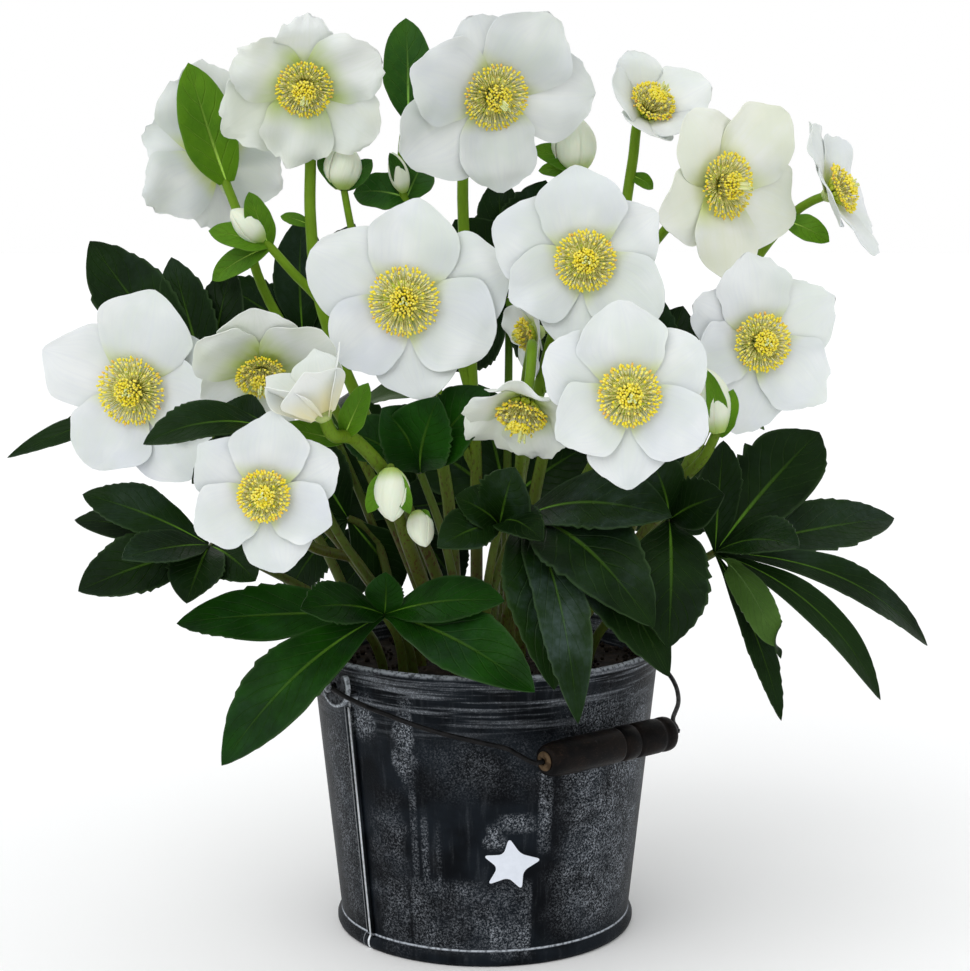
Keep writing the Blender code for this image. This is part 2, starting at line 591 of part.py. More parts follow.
def makeEar(name, sign):
    """A half-round tab outside the rim, on a foot that meets the wall."""
    out = ALONG * sign
    bm = bmesh.new()
    bmesh.ops.create_cone(bm, cap_ends=True, segments=20, radius1=9.5, radius2=9.5, depth=2.0)
    for v in bm.verts:
        x, y, z = v.co
        high = min(y, 5.5)
        v.co = PIVOT + out * (84.0 + z) + FLAT * x + Vector((0, 0, high))
    bmesh.ops.remove_doubles(bm, verts=bm.verts, dist=0.001)
    bmesh.ops.recalc_face_normals(bm, faces=bm.faces)
    ear = addMesh(name, bm)
    # a foot on each side of the hole, whose end follows the wall
    feet = []
    for sideways in (-5.6, 5.6):
        bm = bmesh.new()
        bmesh.ops.create_cube(bm, size=1)
        for v in bm.verts:
            x = sideways + v.co.x * 2.6
            z = -4.6 + v.co.y * 3.0
            near = math.sqrt((wallRadius(BAIL_HEIGHT + z) + 0.35) ** 2 - x * x)
            r = 83.6 if v.co.z > 0 else near
            v.co = PIVOT + out * r + FLAT * x + Vector((0, 0, z))
        bmesh.ops.recalc_face_normals(bm, faces=bm.faces)
        feet.append(addMesh("foot", bm))
    ear = join(ear, feet)
    bm = bmesh.new()
    bmesh.ops.create_cone(bm, cap_ends=True, segments=12, radius1=BORE + 0.05, radius2=BORE + 0.05, depth=12)
    turn = Vector((0, 0, 1)).rotation_difference(out)
    for v in bm.verts:
        v.co = turn @ v.co + PIVOT + out * 84.0
    hole = addMesh("hole", bm, cutters)
    hole.display_type = "WIRE"
    hole.hide_render = True
    return join(ear, [hole], operation="DIFFERENCE")


def makeWire():
    left = [(-82.2, 0), (-86.2, 0), (-87.4, 2), (-86.5, 10), (-83.0, 22), (-78.6, 32), (-75, 40), (-68, 52),
            (-58, 64), (-49, 74), (-47.5, 80), (-46, GRIP_REACH - 1.5), (-43.5, GRIP_REACH)]
    right = [(35.5, GRIP_REACH), (39, GRIP_REACH - 2), (44, 80), (60, 67), (73, 50), (82, 28), (86.6, 10),
             (87.4, 2), (86.2, 0), (82.2, 0)]
    wire = tube("bail_wire", [bailPoint(s, r) for s, r in left + right], WIRE, WIRE, 1)
    caps = []
    for sign in (-1, 1):
        bm = bmesh.new()
        bmesh.ops.create_cone(bm, cap_ends=True, segments=10, radius1=2.6, radius2=2.0, depth=1.4)
        turn = Vector((0, 0, 1)).rotation_difference(ALONG * sign)
        for v in bm.verts:
            v.co = turn @ v.co + PIVOT + ALONG * (sign * 88.2)
        caps.append(addMesh("cap", bm))
    return join(wire, caps)


def alongBail(ob):
    """Lays a part turned about Z along the grip's line."""
    turn = Vector((0, 0, 1)).rotation_difference(ALONG)
    for v in ob.data.vertices:
        v.co = turn @ v.co + bailPoint(0, GRIP_REACH) * MM
    return ob


def ringOf(profile):
    return profile + [profile[0]]


def makeGrip():
    r = GRIP_RADIUS
    a, b = GRIP_FROM, GRIP_TO
    profile = [
        (BORE, a), (BORE, b), (r - 1.6, b), (r - 0.2, b - 1.4), (r, b - 5), (r - 0.5, b - 7.5), (r, b - 9),
        (r, b - 21), (r - 1.2, b - 22.5), (r, b - 24), (r, b - 30), (r - 1.2, b - 31.5), (r - 0.1, b - 33),
        (r, a + 14), (r - 0.6, a + 3), (r - 2.2, a),
    ]
    return alongBail(lathe("bail_grip", ringOf(profile), 12))


def makeFerrule(name, place, sign):
    low, high = sorted((place + sign * JOIN, place + sign * (JOIN + 1.1)))
    profile = [(BORE, low), (BORE, high), (3.6, high), (4.2, low)] if sign > 0 else [
        (BORE, low), (BORE, high), (4.2, high), (3.6, low)]
    return alongBail(lathe(name, ringOf(profile), 10))


def main():
    white = paint("petal_white", (0.86, 0.88, 0.9), 0.6)
    yellow = paint("stamen_yellow", (0.85, 0.65, 0.08), 0.6)
    green = paint("stem_green", (0.2, 0.4, 0.06), 0.5)
    leaf = paint("leaf_green", (0.02, 0.07, 0.02), 0.45)
    black = paint("pail_black", (0.025, 0.03, 0.04), 0.5, 0.2)
    earth = paint("soil_brown", (0.03, 0.02, 0.012), 0.95)
    steel = paint("wire_black", (0.02, 0.02, 0.02), 0.4, 0.8)
    wood = paint("grip_black", (0.02, 0.018, 0.017), 0.4)
    brass = paint("ferrule_bronze", (0.3, 0.2, 0.08), 0.4, 0.9)

    finish(makePail(), black)
    finish(makeEar("ear_left", -1), black)
    finish(makeEar("ear_right", 1), black)
    finish(makeSoil(), earth)
    finish(makeWire(), steel)
    finish(makeGrip(), wood)
    finish(makeFerrule("ferrule_left", GRIP_FROM, -1), brass)
    finish(makeFerrule("ferrule_right", GRIP_TO, 1), brass)
    for key in STEMS:
        finish(stemNode(key), green)
    for key in LEAVES:
        finish(leafNode(key), leaf)
    for key in BLOOMS:
        finish(bloomPetals(key), white)
        if BLOOMS[key][5]:
            finish(bloomStamens(key), yellow)
    for name in ("bail_wire", "bail_grip", "ferrule_left", "ferrule_right"):
        ob = bpy.data.objects[name]
        for v in ob.data.vertices:
            v.co -= PIVOT * MM
        ob.location = PIVOT * MM
    cutters.hide_render = True


main()
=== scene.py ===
import math
import random

import bmesh
import bpy
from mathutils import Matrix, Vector, noise


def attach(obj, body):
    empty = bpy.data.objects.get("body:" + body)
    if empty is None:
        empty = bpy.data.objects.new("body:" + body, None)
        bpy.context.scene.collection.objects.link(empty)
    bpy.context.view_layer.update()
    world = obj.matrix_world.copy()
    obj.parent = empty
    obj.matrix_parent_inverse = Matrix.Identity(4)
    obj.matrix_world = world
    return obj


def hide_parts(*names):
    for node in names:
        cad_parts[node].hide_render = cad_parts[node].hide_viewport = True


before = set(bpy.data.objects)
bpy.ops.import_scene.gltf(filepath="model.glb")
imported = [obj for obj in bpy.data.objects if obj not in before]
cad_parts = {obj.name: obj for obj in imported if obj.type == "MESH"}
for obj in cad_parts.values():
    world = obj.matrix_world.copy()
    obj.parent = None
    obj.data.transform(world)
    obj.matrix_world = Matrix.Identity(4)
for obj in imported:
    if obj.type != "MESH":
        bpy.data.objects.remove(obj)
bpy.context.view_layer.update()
mm = 0.001


print("frame loaded")


# Small helpers for meshes, all in millimetres until a piece is kept

def unit(v):
    return Vector(v).normalized()


def mix(a, b, t):
    return a + (b - a) * t


def smoothStep(t):
    t = max(0.0, min(1.0, t))
    return t * t * (3 - 2 * t)


def noiseValue(x, y, z):
    return noise.noise(Vector((x, y, z)))


def curveThrough(points, steps):
    # a smooth run of points through the given ones
    pts = [Vector(p) for p in points]
    ends = [pts[0] * 2 - pts[1]] + pts + [pts[-1] * 2 - pts[-2]]
    out = []
    for k in range(1, len(ends) - 2):
        a, b, c, d = ends[k - 1:k + 3]
        for j in range(steps):
            t = j / steps
            out.append(0.5 * (2 * b + (c - a) * t + (2 * a - 5 * b + 4 * c - d) * t * t
                              + (3 * b - a - 3 * c + d) * t ** 3))
    return out + [pts[-1]]


def valueAlong(pairs, t):
    for (a, x), (b, y) in zip(pairs, pairs[1:]):
        if t <= b:
            return mix(x, y, (t - a) / (b - a))
    return pairs[-1][1]


def softValue(pairs, t):
    # the value between pairs of place and value, with its corners rounded off
    reach = min(0.06, t, 1 - t)
    return sum(valueAlong(pairs, t + reach * k / 3) for k in range(-3, 4)) / 7


def startMesh():
    bm = bmesh.new()
    bm.loops.layers.uv.new("UVMap")
    bm.verts.layers.float.new("seed")
    return bm


def keep(name, bm, materials, body="pot", nodes=(), smooth=True):
    bmesh.ops.scale(bm, vec=(mm, mm, mm), verts=bm.verts)
    for face in bm.faces:
        face.smooth = smooth
    for edge in bm.edges:
        edge.smooth = not edge.is_boundary  # margins stay crisp once a sheet has its thickness
    mesh = bpy.data.meshes.new(name)
    bm.to_mesh(mesh)
    bm.free()
    return keepMesh(name, mesh, materials, body, nodes)


def keepMesh(name, mesh, materials, body="pot", nodes=()):
    for m in materials:
        mesh.materials.append(m)
    piece = bpy.data.objects.new(name, mesh)
    bpy.context.scene.collection.objects.link(piece)
    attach(piece, body)
    if nodes:
        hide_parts(*nodes)
    return piece


def thicken(piece, thickness, under=0):
    solid = piece.modifiers.new("thickness", "SOLIDIFY")
    solid.thickness = thickness * mm
    solid.offset = 0
    solid.material_offset = under


def rodsMesh(name, routes, sides=3, steps=6):
    # round rods along smooth routes of (points, start radius, end radius)
    curve = bpy.data.curves.new(name, "CURVE")
    curve.dimensions = "3D"
    curve.bevel_depth = mm
    curve.bevel_resolution = sides
    curve.use_fill_caps = True
    for points, start, end in routes:
        path = curveThrough(points, steps)
        line = curve.splines.new("POLY")
        line.points.add(len(path) - 1)
        for k, p in enumerate(path):
            line.points[k].co = (*(p * mm), 1)
            line.points[k].radius = mix(start, end, k / (len(path) - 1))
    rod = bpy.data.objects.new(name, curve)
    bpy.context.scene.collection.objects.link(rod)
    mesh = bpy.data.meshes.new_from_object(rod.evaluated_get(bpy.context.evaluated_depsgraph_get()))
    mesh.name = name
    bpy.data.objects.remove(rod)
    bpy.data.curves.remove(curve)
    for poly in mesh.polygons:
        poly.use_smooth = True
    return mesh


def spinProfile(bm, profile, steps):
    # turns a run of (radius, height) about Z and closes it
    verts = [bm.verts.new((x, 0, z)) for x, z in profile]
    edges = [bm.edges.new(pair) for pair in zip(verts, verts[1:])]
    bmesh.ops.spin(bm, geom=verts + edges, cent=(0, 0, 0), axis=(0, 0, 1), angle=math.tau, steps=steps,
                   use_merge=True)
    bmesh.ops.remove_doubles(bm, verts=bm.verts, dist=0.004)
    bmesh.ops.recalc_face_normals(bm, faces=bm.faces)


def placeCone(bm, foot, tip, start, end, sides):
    run = Vector(tip) - Vector(foot)
    made = bmesh.ops.create_cone(bm, cap_ends=True, segments=sides, radius1=start, radius2=end,
                                 depth=run.length)
    turn = Vector((0, 0, 1)).rotation_difference(unit(run))
    for v in made["verts"]:
        v.co = turn @ v.co + (Vector(foot) + Vector(tip)) / 2
    return made["verts"]


def placeBead(bm, centre, axis, wide, tall, fine=1):
    made = bmesh.ops.create_icosphere(bm, subdivisions=fine, radius=1)
    turn = Vector((0, 0, 1)).rotation_difference(unit(axis))
    for v in made["verts"]:
        v.co = turn @ Vector((v.co.x * wide, v.co.y * wide, v.co.z * tall)) + Vector(centre)
    return made["verts"]


def roundOff(bm, geom, offset, segments, affect="EDGES"):
    bmesh.ops.bevel(bm, geom=geom, offset=offset, affect=affect, segments=segments, profile=0.5, material=-1)


def markFaces(verts, index):
    for face in {f for v in verts for f in v.link_faces}:
        face.material_index = index


def bentSheet(bm, across, along, place, seed):
    # a grid bent by place(u, v), with its UV map kept, closed where its last row meets
    made = bmesh.ops.create_grid(bm, x_segments=across, y_segments=along, size=1, calc_uvs=True)
    layer = bm.verts.layers.float["seed"]
    tips = []
    for v in made["verts"]:
        u, side = (v.co.y + 1) / 2, v.co.x
        v[layer] = seed
        if u > 0.999:
            tips.append(v)
        v.co = place(u, side)
    bmesh.ops.remove_doubles(bm, verts=tips, dist=0.05)


def facing(turn, rise):
    y, p = math.radians(turn), math.radians(rise)
    front = Vector((math.sin(y) * math.cos(p), -math.cos(y) * math.cos(p), math.sin(p)))
    right = Vector((math.cos(y), math.sin(y), 0))
    return right, front.cross(right), front


# Node helpers: a shader input takes a value or another node's socket

def addNode(tree, kind, inputs=None, **props):
    node = tree.nodes.new(kind)
    for key, value in props.items():
        setattr(node, key, value)
    for key, value in (inputs or {}).items():
        if isinstance(value, bpy.types.NodeSocket):
            tree.links.new(value, node.inputs[key])
        else:
            node.inputs[key].default_value = value
    return node


def mathNode(tree, operation, a, b=0.0):
    return addNode(tree, "ShaderNodeMath", {0: a, 1: b}, operation=operation).outputs[0]


def times(tree, a, b):
    return mathNode(tree, "MULTIPLY", a, b)


def plus(tree, a, b):
    return mathNode(tree, "ADD", a, b)


def minus(tree, a, b):
    return mathNode(tree, "SUBTRACT", a, b)


def axesOf(tree, vector):
    return addNode(tree, "ShaderNodeSeparateXYZ", {0: vector}).outputs


def ramp(tree, value, low, high, start=0.0, end=1.0, smooth=True):
    node = addNode(tree, "ShaderNodeMapRange", {
        "Value": value, "From Min": low, "From Max": high, "To Min": start, "To Max": end})
    node.interpolation_type = "SMOOTHSTEP" if smooth else "LINEAR"
    return node.outputs["Result"]


def blendColour(tree, mask, a, b):
    a, b = [(*c, 1) if isinstance(c, tuple) else c for c in (a, b)]
    inputs = {0: mask, 6: a, 7: b}
    return addNode(tree, "ShaderNodeMix", inputs, data_type="RGBA", clamp_factor=True).outputs[2]


def noiseAt(tree, vector, scale, detail=3.0, rough=0.5):
    return addNode(tree, "ShaderNodeTexNoise", {
        "Vector": vector, "Scale": scale, "Detail": detail, "Roughness": rough}).outputs["Fac"]


def stretched(tree, vector, scale, turn=(0, 0, 0)):
    return addNode(tree, "ShaderNodeMapping", {
        "Vector": vector, "Scale": scale, "Rotation": turn}).outputs["Vector"]


def newGroup(name, inputs, outputs):
    group = bpy.data.node_groups.new(name, "ShaderNodeTree")
    for label, kind in inputs:
        group.interface.new_socket(label, in_out="INPUT", socket_type=kind)
    for label, kind in outputs:
        group.interface.new_socket(label, in_out="OUTPUT", socket_type=kind)
    return group, group.nodes.new("NodeGroupInput").outputs, group.nodes.new("NodeGroupOutput").inputs


def useGroup(tree, group, inputs):
    return addNode(tree, "ShaderNodeGroup", inputs, node_tree=group).outputs


def newMaterial(name, rough, **sockets):
    mat = bpy.data.materials.new(name)
    mat.use_nodes = True
    tree = mat.node_tree
    shader = tree.nodes["Principled BSDF"]
    shader.inputs["Roughness"].default_value = rough
    for key, value in sockets.items():
        shader.inputs[key.replace("_", " ")].default_value = value
    return mat, tree, shader


def paintOn(tree, shader, colour=None, rough=None, height=None, strength=0.3, distance=0.001):
    if colour is not None:
        tree.links.new(colour, shader.inputs["Base Color"])
    if rough is not None:
        tree.links.new(rough, shader.inputs["Roughness"])
    if height is not None:
        bump = addNode(tree, "ShaderNodeBump", {"Height": height, "Strength": strength,
                                                "Distance": distance})
        tree.links.new(bump.outputs[0], shader.inputs["Normal"])


def surface(tree):
    return addNode(tree, "ShaderNodeTexCoord").outputs["Object"]


def ownMap(tree):
    return addNode(tree, "ShaderNodeUVMap", uv_map="UVMap").outputs[0]


def seedOf(tree):
    return addNode(tree, "ShaderNodeAttribute", attribute_name="seed").outputs["Fac"]


def blotchGroup():
    # soft blotches at one scale, spread out to fill the whole range
    inputs = [("Vector", "NodeSocketVector"), ("Scale", "NodeSocketFloat"), ("Edge", "NodeSocketFloat")]
    group, ins, outs = newGroup("softBlotches", inputs, [("Mask", "NodeSocketFloat")])
    value = noiseAt(group, ins["Vector"], ins["Scale"], 4.0, 0.55)
    low = minus(group, 0.5, ins["Edge"])
    high = plus(group, 0.5, ins["Edge"])
    group.links.new(ramp(group, value, low, high), outs["Mask"])
    return group


def veinGroup():
    # a midrib and slanting side veins on a blade whose map runs foot to tip along Y
    numbers, masks = ("Count", "Slant", "Wander"), ("Midrib", "Side", "Margin", "Along")
    inputs = [("UV", "NodeSocketVector")] + [(n, "NodeSocketFloat") for n in numbers]
    group, ins, outs = newGroup("bladeVeins", inputs, [(n, "NodeSocketFloat") for n in masks])
    parts = axesOf(group, ins["UV"])
    off = mathNode(group, "ABSOLUTE", minus(group, parts["X"], 0.5))
    off = times(group, off, 2.0)
    wander = times(group, noiseAt(group, ins["UV"], 5.0, 2.0), ins["Wander"])
    slid = minus(group, parts["Y"], times(group, off, ins["Slant"]))
    place = times(group, plus(group, slid, wander), ins["Count"])
    near = mathNode(group, "ABSOLUTE", minus(group, mathNode(group, "FRACT", place), 0.5))
    side = times(group, ramp(group, near, 0.41, 0.5), ramp(group, off, 1.0, 0.55))
    thin = minus(group, 0.095, times(group, parts["Y"], 0.06))
    group.links.new(ramp(group, off, thin, times(group, thin, 0.35)), outs["Midrib"])
    group.links.new(side, outs["Side"])
    group.links.new(ramp(group, off, 0.9, 0.99), outs["Margin"])
    group.links.new(parts["Y"], outs["Along"])
    return group


softBlotches = blotchGroup()
bladeVeins = veinGroup()


def blotches(tree, vector, scale, edge):
    return useGroup(tree, softBlotches, {"Vector": vector, "Scale": scale, "Edge": edge})["Mask"]


# Petals

petalLook = {"white": (0.67, 0.71, 0.70), "lavender": (0.59, 0.62, 0.69), "green": (0.58, 0.66, 0.54),
             "pale": (0.78, 0.80, 0.80), "cream": (0.77, 0.785, 0.70), "creamShade": (0.70, 0.73, 0.53),
             "throat": (0.50, 0.60, 0.10), "deepThroat": (0.40, 0.55, 0.04), "inside": (0.76, 0.70, 0.40),
             "ribs": 22.0, "rough": 0.5, "thickness": 0.3, "across": 14, "rows": 26, "wide": 0.46,
             "cupWide": 0.42, "claw": 2.6, "broadest": 0.56, "foot": 0.38, "drawn": 1.3}


def petalMaterial(name, colours, throatReach):
    main, shade, tint, throat = (petalLook[c] for c in colours)
    mat, tree, shader = newMaterial(name, petalLook["rough"], Subsurface_Weight=0.35,
                                    Subsurface_Scale=0.002, Specular_IOR_Level=0.25, Sheen_Weight=0.1)
    shader.inputs["Subsurface Radius"].default_value = (1.0, 0.95, 0.85)
    uv, place = ownMap(tree), surface(tree)
    parts = axesOf(tree, uv)
    ribs = noiseAt(tree, stretched(tree, uv, (petalLook["ribs"], 1.4, 1)), 1.0, 3.0)
    broad = noiseAt(tree, stretched(tree, uv, (4.0, 1.2, 1)), 1.0, 2.0)
    cool = blotches(tree, place, 26.0, 0.2)
    warm = blotches(tree, stretched(tree, place, (1, 1, 1), (1, 2, 0)), 34.0, 0.16)
    cool = times(tree, cool, ramp(tree, seedOf(tree), 0, 1, 0.3, 0.9, smooth=False))
    colour = blendColour(tree, cool, main, shade)
    colour = blendColour(tree, times(tree, warm, 0.4), colour, tint)
    light = ramp(tree, noiseAt(tree, stretched(tree, place, (1, 1, 1), (2, 0, 1)), 40.0, 2.0), 0.45, 0.7)
    colour = blendColour(tree, times(tree, light, 0.6), colour, petalLook["pale"])
    colour = blendColour(tree, times(tree, ramp(tree, ribs, 0.4, 0.7), 0.22), colour, shade)
    deep = times(tree, ramp(tree, parts["Y"], throatReach, 0.04), ramp(tree, broad, 0.25, 0.6, 0.5, 1.0))
    colour = blendColour(tree, deep, colour, throat)
    height = plus(tree, times(tree, ribs, 0.4), broad)
    paintOn(tree, shader, colour, None, height, 0.25, 0.0008)
    return mat


petalWhite = petalMaterial("petalWhite", ("white", "lavender", "green", "throat"), 0.3)
petalCream = petalMaterial("petalCream", ("cream", "creamShade", "green", "throat"), 0.4)
petalNodding = petalMaterial("petalNodding", ("white", "green", "creamShade", "deepThroat"), 0.52)
petalCup = petalMaterial("petalCup", ("white", "cream", "green", "inside"), 0.62)
petalKinds = {"b": petalNodding, "e": petalCream, "k": petalNodding, "n": petalNodding, "p": petalCup}

# Each bloom: centre, turn to the right, turn up, how far the cup closes, petals, stamens.
# A petal is its angle seen from the front, its length and its layer.
blooms = {
    "a": ((-123, 27, 347), -162, 12, 10,
          [(322, 36, 0), (18, 32, 1), (78, 44, 0), (138, 42, 1), (202, 34, 0), (262, 34, 1)], (12, 10)),
    "b": ((-78, -15, 379), 2, -22, 14,
          [(257, 36, 1), (209, 41, 0), (152, 34, 1), (88, 32, 0), (26, 37, 1), (325, 37, 0)], (12, 10)),
    "c": ((3, -15, 375), 18, -15, 12,
          [(216, 47, 0), (278, 42, 1), (4, 44, 0), (57, 42, 1), (108, 36, 0), (163, 42, 1)], (14, 10)),
    "d": ((72, 15, 368), 25, 35, 34,
          [(100, 29, 0), (172, 28, 1), (240, 29, 0), (300, 28, 1), (10, 31, 0.5)], (10, 13)),
    "e": ((100, -30, 336), 38, -2, 12,
          [(47, 42, 1), (342, 44, 0), (270, 41, 1), (203, 38, 0), (128, 38, 0.5)], (14, 10)),
    "f": ((152, -5, 332), 66, 22, 14,
          [(112, 33, 0), (45, 32, 1), (340, 34, 0), (270, 33, 1), (190, 31, 0.5)], (11, 10)),
    "g": ((-33, -80, 289), 0, 2, 12,
          [(80, 42, 1), (150, 42, 0), (222, 36, 1), (284, 40, 0), (335, 40, 1), (20, 44, 0)], (14, 10)),
    "h": ((40, -92, 306), 0, 2, 12,
          [(96, 38, 1), (157, 39, 0), (207, 34, 1), (262, 36, 0), (322, 37, 1), (32, 34, 0)], (12, 10)),
    "i": ((114, -62, 271), 14, 2, 12,
          [(100, 37, 1), (30, 36, 0), (318, 36, 1), (252, 39, 0), (192, 31, 1), (146, 33, 0)], (12, 10)),
    "j": ((56, -125, 255), 0, 4, 12,
          [(96, 37, 1), (154, 36, 0), (212, 33, 1), (268, 36, 0), (326, 34, 1), (34, 34, 0)], (12, 10)),
    "k": ((16, -104, 251), -18, -50, 32,
          [(80, 27, 0), (150, 27, 1), (215, 30, 0), (280, 28, 1), (350, 27, 0.5)], (10, 13)),
    "l": ((22, -34, 273), -70, -10, 20,
          [(90, 20, 0), (162, 20, 1), (234, 20, 0), (306, 20, 1), (18, 20, 0.5)], (7, 8)),
    "m": ((-147, -60, 251), -10, -3, 12,
          [(72, 45, 1), (155, 41, 0), (240, 37, 1), (306, 44, 0), (350, 36, 1), (28, 37, 0)], (14, 10)),
    "n": ((-92, -80, 262), 6, -35, 14,
          [(143, 32, 1), (95, 34, 0), (40, 36, 1), (345, 32, 0), (290, 28, 1), (217, 28, 0)], (10, 10)),
    "o": ((-87, -122, 215), 2, 5, 12,
          [(83, 34, 1), (140, 32, 0), (208, 30, 1), (282, 31, 0), (335, 29, 1), (25, 32, 0)], (10, 10)),
    "p": ((-64, -120, 247), -60, 62, 58,
          [(60, 30, 0), (130, 28, 1), (205, 29, 0), (275, 28, 1), (345, 30, 0.5)], None),
}

# How wavy a bloom's petals are, how ragged their tips and how pointed, where it isn't the usual
bloomWaves = {"a": (2.5, 0.6, 0.7), "b": (2.7, 0.65, 0.6), "c": (2.3, 0.3, 0.58), "d": (1.6, 0.2, 0.5),
              "e": (1.6, 0.15, 0.58), "f": (1.8, 0.3, 0.6), "g": (1.4, 0.1, 0.58), "h": (1.4, 0.1, 0.66),
              "i": (1.6, 0.4, 0.72), "j": (1.4, 0.15, 0.62), "k": (2.3, 0.5, 0.6), "m": (1.2, 0.05, 0.72),
              "n": (1.7, 0.2, 0.55), "o": (1.1, 0.12, 0.78), "p": (0.7, 0.0, 0.85)}


def petalWidth(u, point):
    # the share of the full width at a place along the petal
    broadest, foot = petalLook["broadest"], petalLook["foot"]
    if u < broadest:
        return foot + (1 - foot) * math.sin(math.pi / 2 * u / broadest)
    return max(0.0, 1 - ((u - broadest) / (1 - broadest)) ** 2) ** point


def addPetal(bm, key, centre, axes, angle, length, layer, lift, wide, dice):
    right, up, front = axes
    a = math.radians(angle)
    out = right * math.cos(a) + up * math.sin(a)
    side = right * math.sin(a) - up * math.cos(a)
    wavy, ragged, point = bloomWaves.get(key, (1.1, 0.05, 0.6))
    half = length * wide * dice.uniform(0.97, 1.06)
    seed = dice.random()
    point *= dice.uniform(0.85, 1.35)
    lean = dice.uniform(-2.2, 2.2)
    curl = dice.uniform(-2.0, 1.4)
    ripples = dice.uniform(5.0, 7.5)
    claw = petalLook["claw"]  # where the petal leaves the middle of the bloom

    def place(u, v):
        u = 1 - (1 - u) ** petalLook["drawn"]  # rows draw together towards the tip
        rise = math.radians(lift + 5 * layer + 6 * (0.5 - u))
        flank = noiseValue(u * 3.1, seed * 31 + (5 if v > 0 else 0), angle)
        c = petalWidth(u, point)
        w = half * c * (1 + 0.2 * flank * smoothStep((u - 0.2) / 0.3))
        tear = noiseValue(v * c * 5.0, seed * 40, 3.0) * ragged * 5 * smoothStep((u - 0.6) / 0.3)
        s = (length - claw) * (u + 0.035 * smoothStep((u - 0.9) / 0.1)) + tear
        high = -0.9 + 1.2 * layer + s * math.sin(rise) + 0.045 * w * v * v
        wave = noiseValue(v * c * 1.2 + seed * 9, u * 1.7, seed * 17 + angle) * 2.1 * u
        edge = math.sin(u * ripples * 2 + v * 1.5 + seed * 20) * abs(v) ** 2.4 * smoothStep((u - 0.25) / 0.5)
        edge *= min(1, c * 2.5)
        crease = -0.45 * math.exp(-(v * 4.5) ** 2) * math.sin(math.pi * min(1, u * 1.1))
        high += wavy * (wave + 0.5 * edge) + crease + curl * smoothStep((u - 0.7) / 0.3) ** 2
        sideways = w * v + lean * u * u * 0.6
        return centre + out * (claw + s * math.cos(rise)) + side * sideways + front * high

    bentSheet(bm, petalLook["across"], petalLook["rows"], place, seed)


def buildPetals(key):
    centre, turn, rise, lift, petals, boss = blooms[key]
    dice = random.Random("petals" + key)
    bm = startMesh()
    axes = facing(turn, rise)
    wide = petalLook["cupWide" if boss is None else "wide"]
    for angle, length, layer in petals:
        addPetal(bm, key, Vector(centre), axes, angle, length, layer, lift, wide, dice)
    piece = keep("bloom" + key.upper() + "Petals", bm, [petalKinds.get(key, petalWhite)],
                 nodes=["bloom_" + key + "_petals"])
    thicken(piece, petalLook["thickness"])


for key in blooms:
    buildPetals(key)
print("petals done")


# Stamens: filaments with anthers, a ring of nectaries and the pistils in the middle

bossLook = {"anther": (0.88, 0.74, 0.02), "antherRipe": (0.80, 0.47, 0.10),
            "antherPale": (0.90, 0.84, 0.22), "filament": (0.95, 0.90, 0.34),
            "filamentFoot": (0.55, 0.62, 0.03), "nectary": (0.20, 0.30, 0.01),
            "nectaryLip": (0.55, 0.66, 0.04), "pistil": (0.85, 0.84, 0.45), "outer": 104, "middle": 20,
            "inner": 100, "nectaries": 16, "pistils": 7, "outerThick": 0.3, "middleThick": 0.24,
            "innerThick": 0.26, "antherSize": (0.56, 1.0), "innerAntherSize": (0.6, 0.85)}

# How far the pistils lean to the right and up in some blooms, and how much longer they are
pistilLean = {"b": (0, -3.5, 1), "c": (2.5, -3, 2), "d": (3, 3, 1), "e": (4, -0.5, 3), "j": (0.5, -1.5, 1),
              "k": (1, -3, 2), "n": (0, -2, 1)}


def tintedMaterial(name, rough, low, middle, high):
    # the colour differs from one grain to the next, by its seed
    mat, tree, shader = newMaterial(name, rough, Subsurface_Weight=0.1, Subsurface_Scale=0.001)
    seed = seedOf(tree)
    colour = blendColour(tree, ramp(tree, seed, 0.0, 0.6, smooth=False), low, middle)
    colour = blendColour(tree, ramp(tree, seed, 0.72, 0.95, smooth=False), colour, high)
    grain = noiseAt(tree, surface(tree), 1800.0, 2.0)
    paintOn(tree, shader, blendColour(tree, times(tree, grain, 0.12), colour, (0.4, 0.25, 0.02)), None,
            grain, 0.3, 0.0003)
    return mat


antherYellow = tintedMaterial("antherYellow", 0.6, bossLook["antherPale"], bossLook["anther"],
                              bossLook["antherRipe"])
filamentCream = tintedMaterial("filamentCream", 0.5, bossLook["filamentFoot"], bossLook["filament"],
                               (0.85, 0.82, 0.66))
nectaryGreen = tintedMaterial("nectaryGreen", 0.4, bossLook["nectary"], bossLook["nectaryLip"],
                              (0.45, 0.55, 0.05))
pistilGreen = tintedMaterial("pistilGreen", 0.45, bossLook["pistil"], (0.6, 0.68, 0.25), (0.8, 0.78, 0.5))


def addStamen(bm, foot, tip, thick, seed, dice, size):
    layer = bm.verts.layers.float["seed"]
    bend = foot.lerp(tip, 0.55) + Vector([dice.uniform(-0.25, 0.25) for k in range(3)])
    for a, b in ((foot, bend), (bend, tip)):
        verts = placeCone(bm, a, b, thick, thick * 0.9, 3)
        markFaces(verts, 1)
        for v in verts:
            v[layer] = 0.2 + 0.75 * (v.co - foot).length / (tip - foot).length
    axis = (tip - bend) + Vector([dice.uniform(-1, 1) for k in range(3)])
    verts = placeBead(bm, tip, axis, *size)
    markFaces(verts, 0)
    for v in verts:
        v[layer] = seed


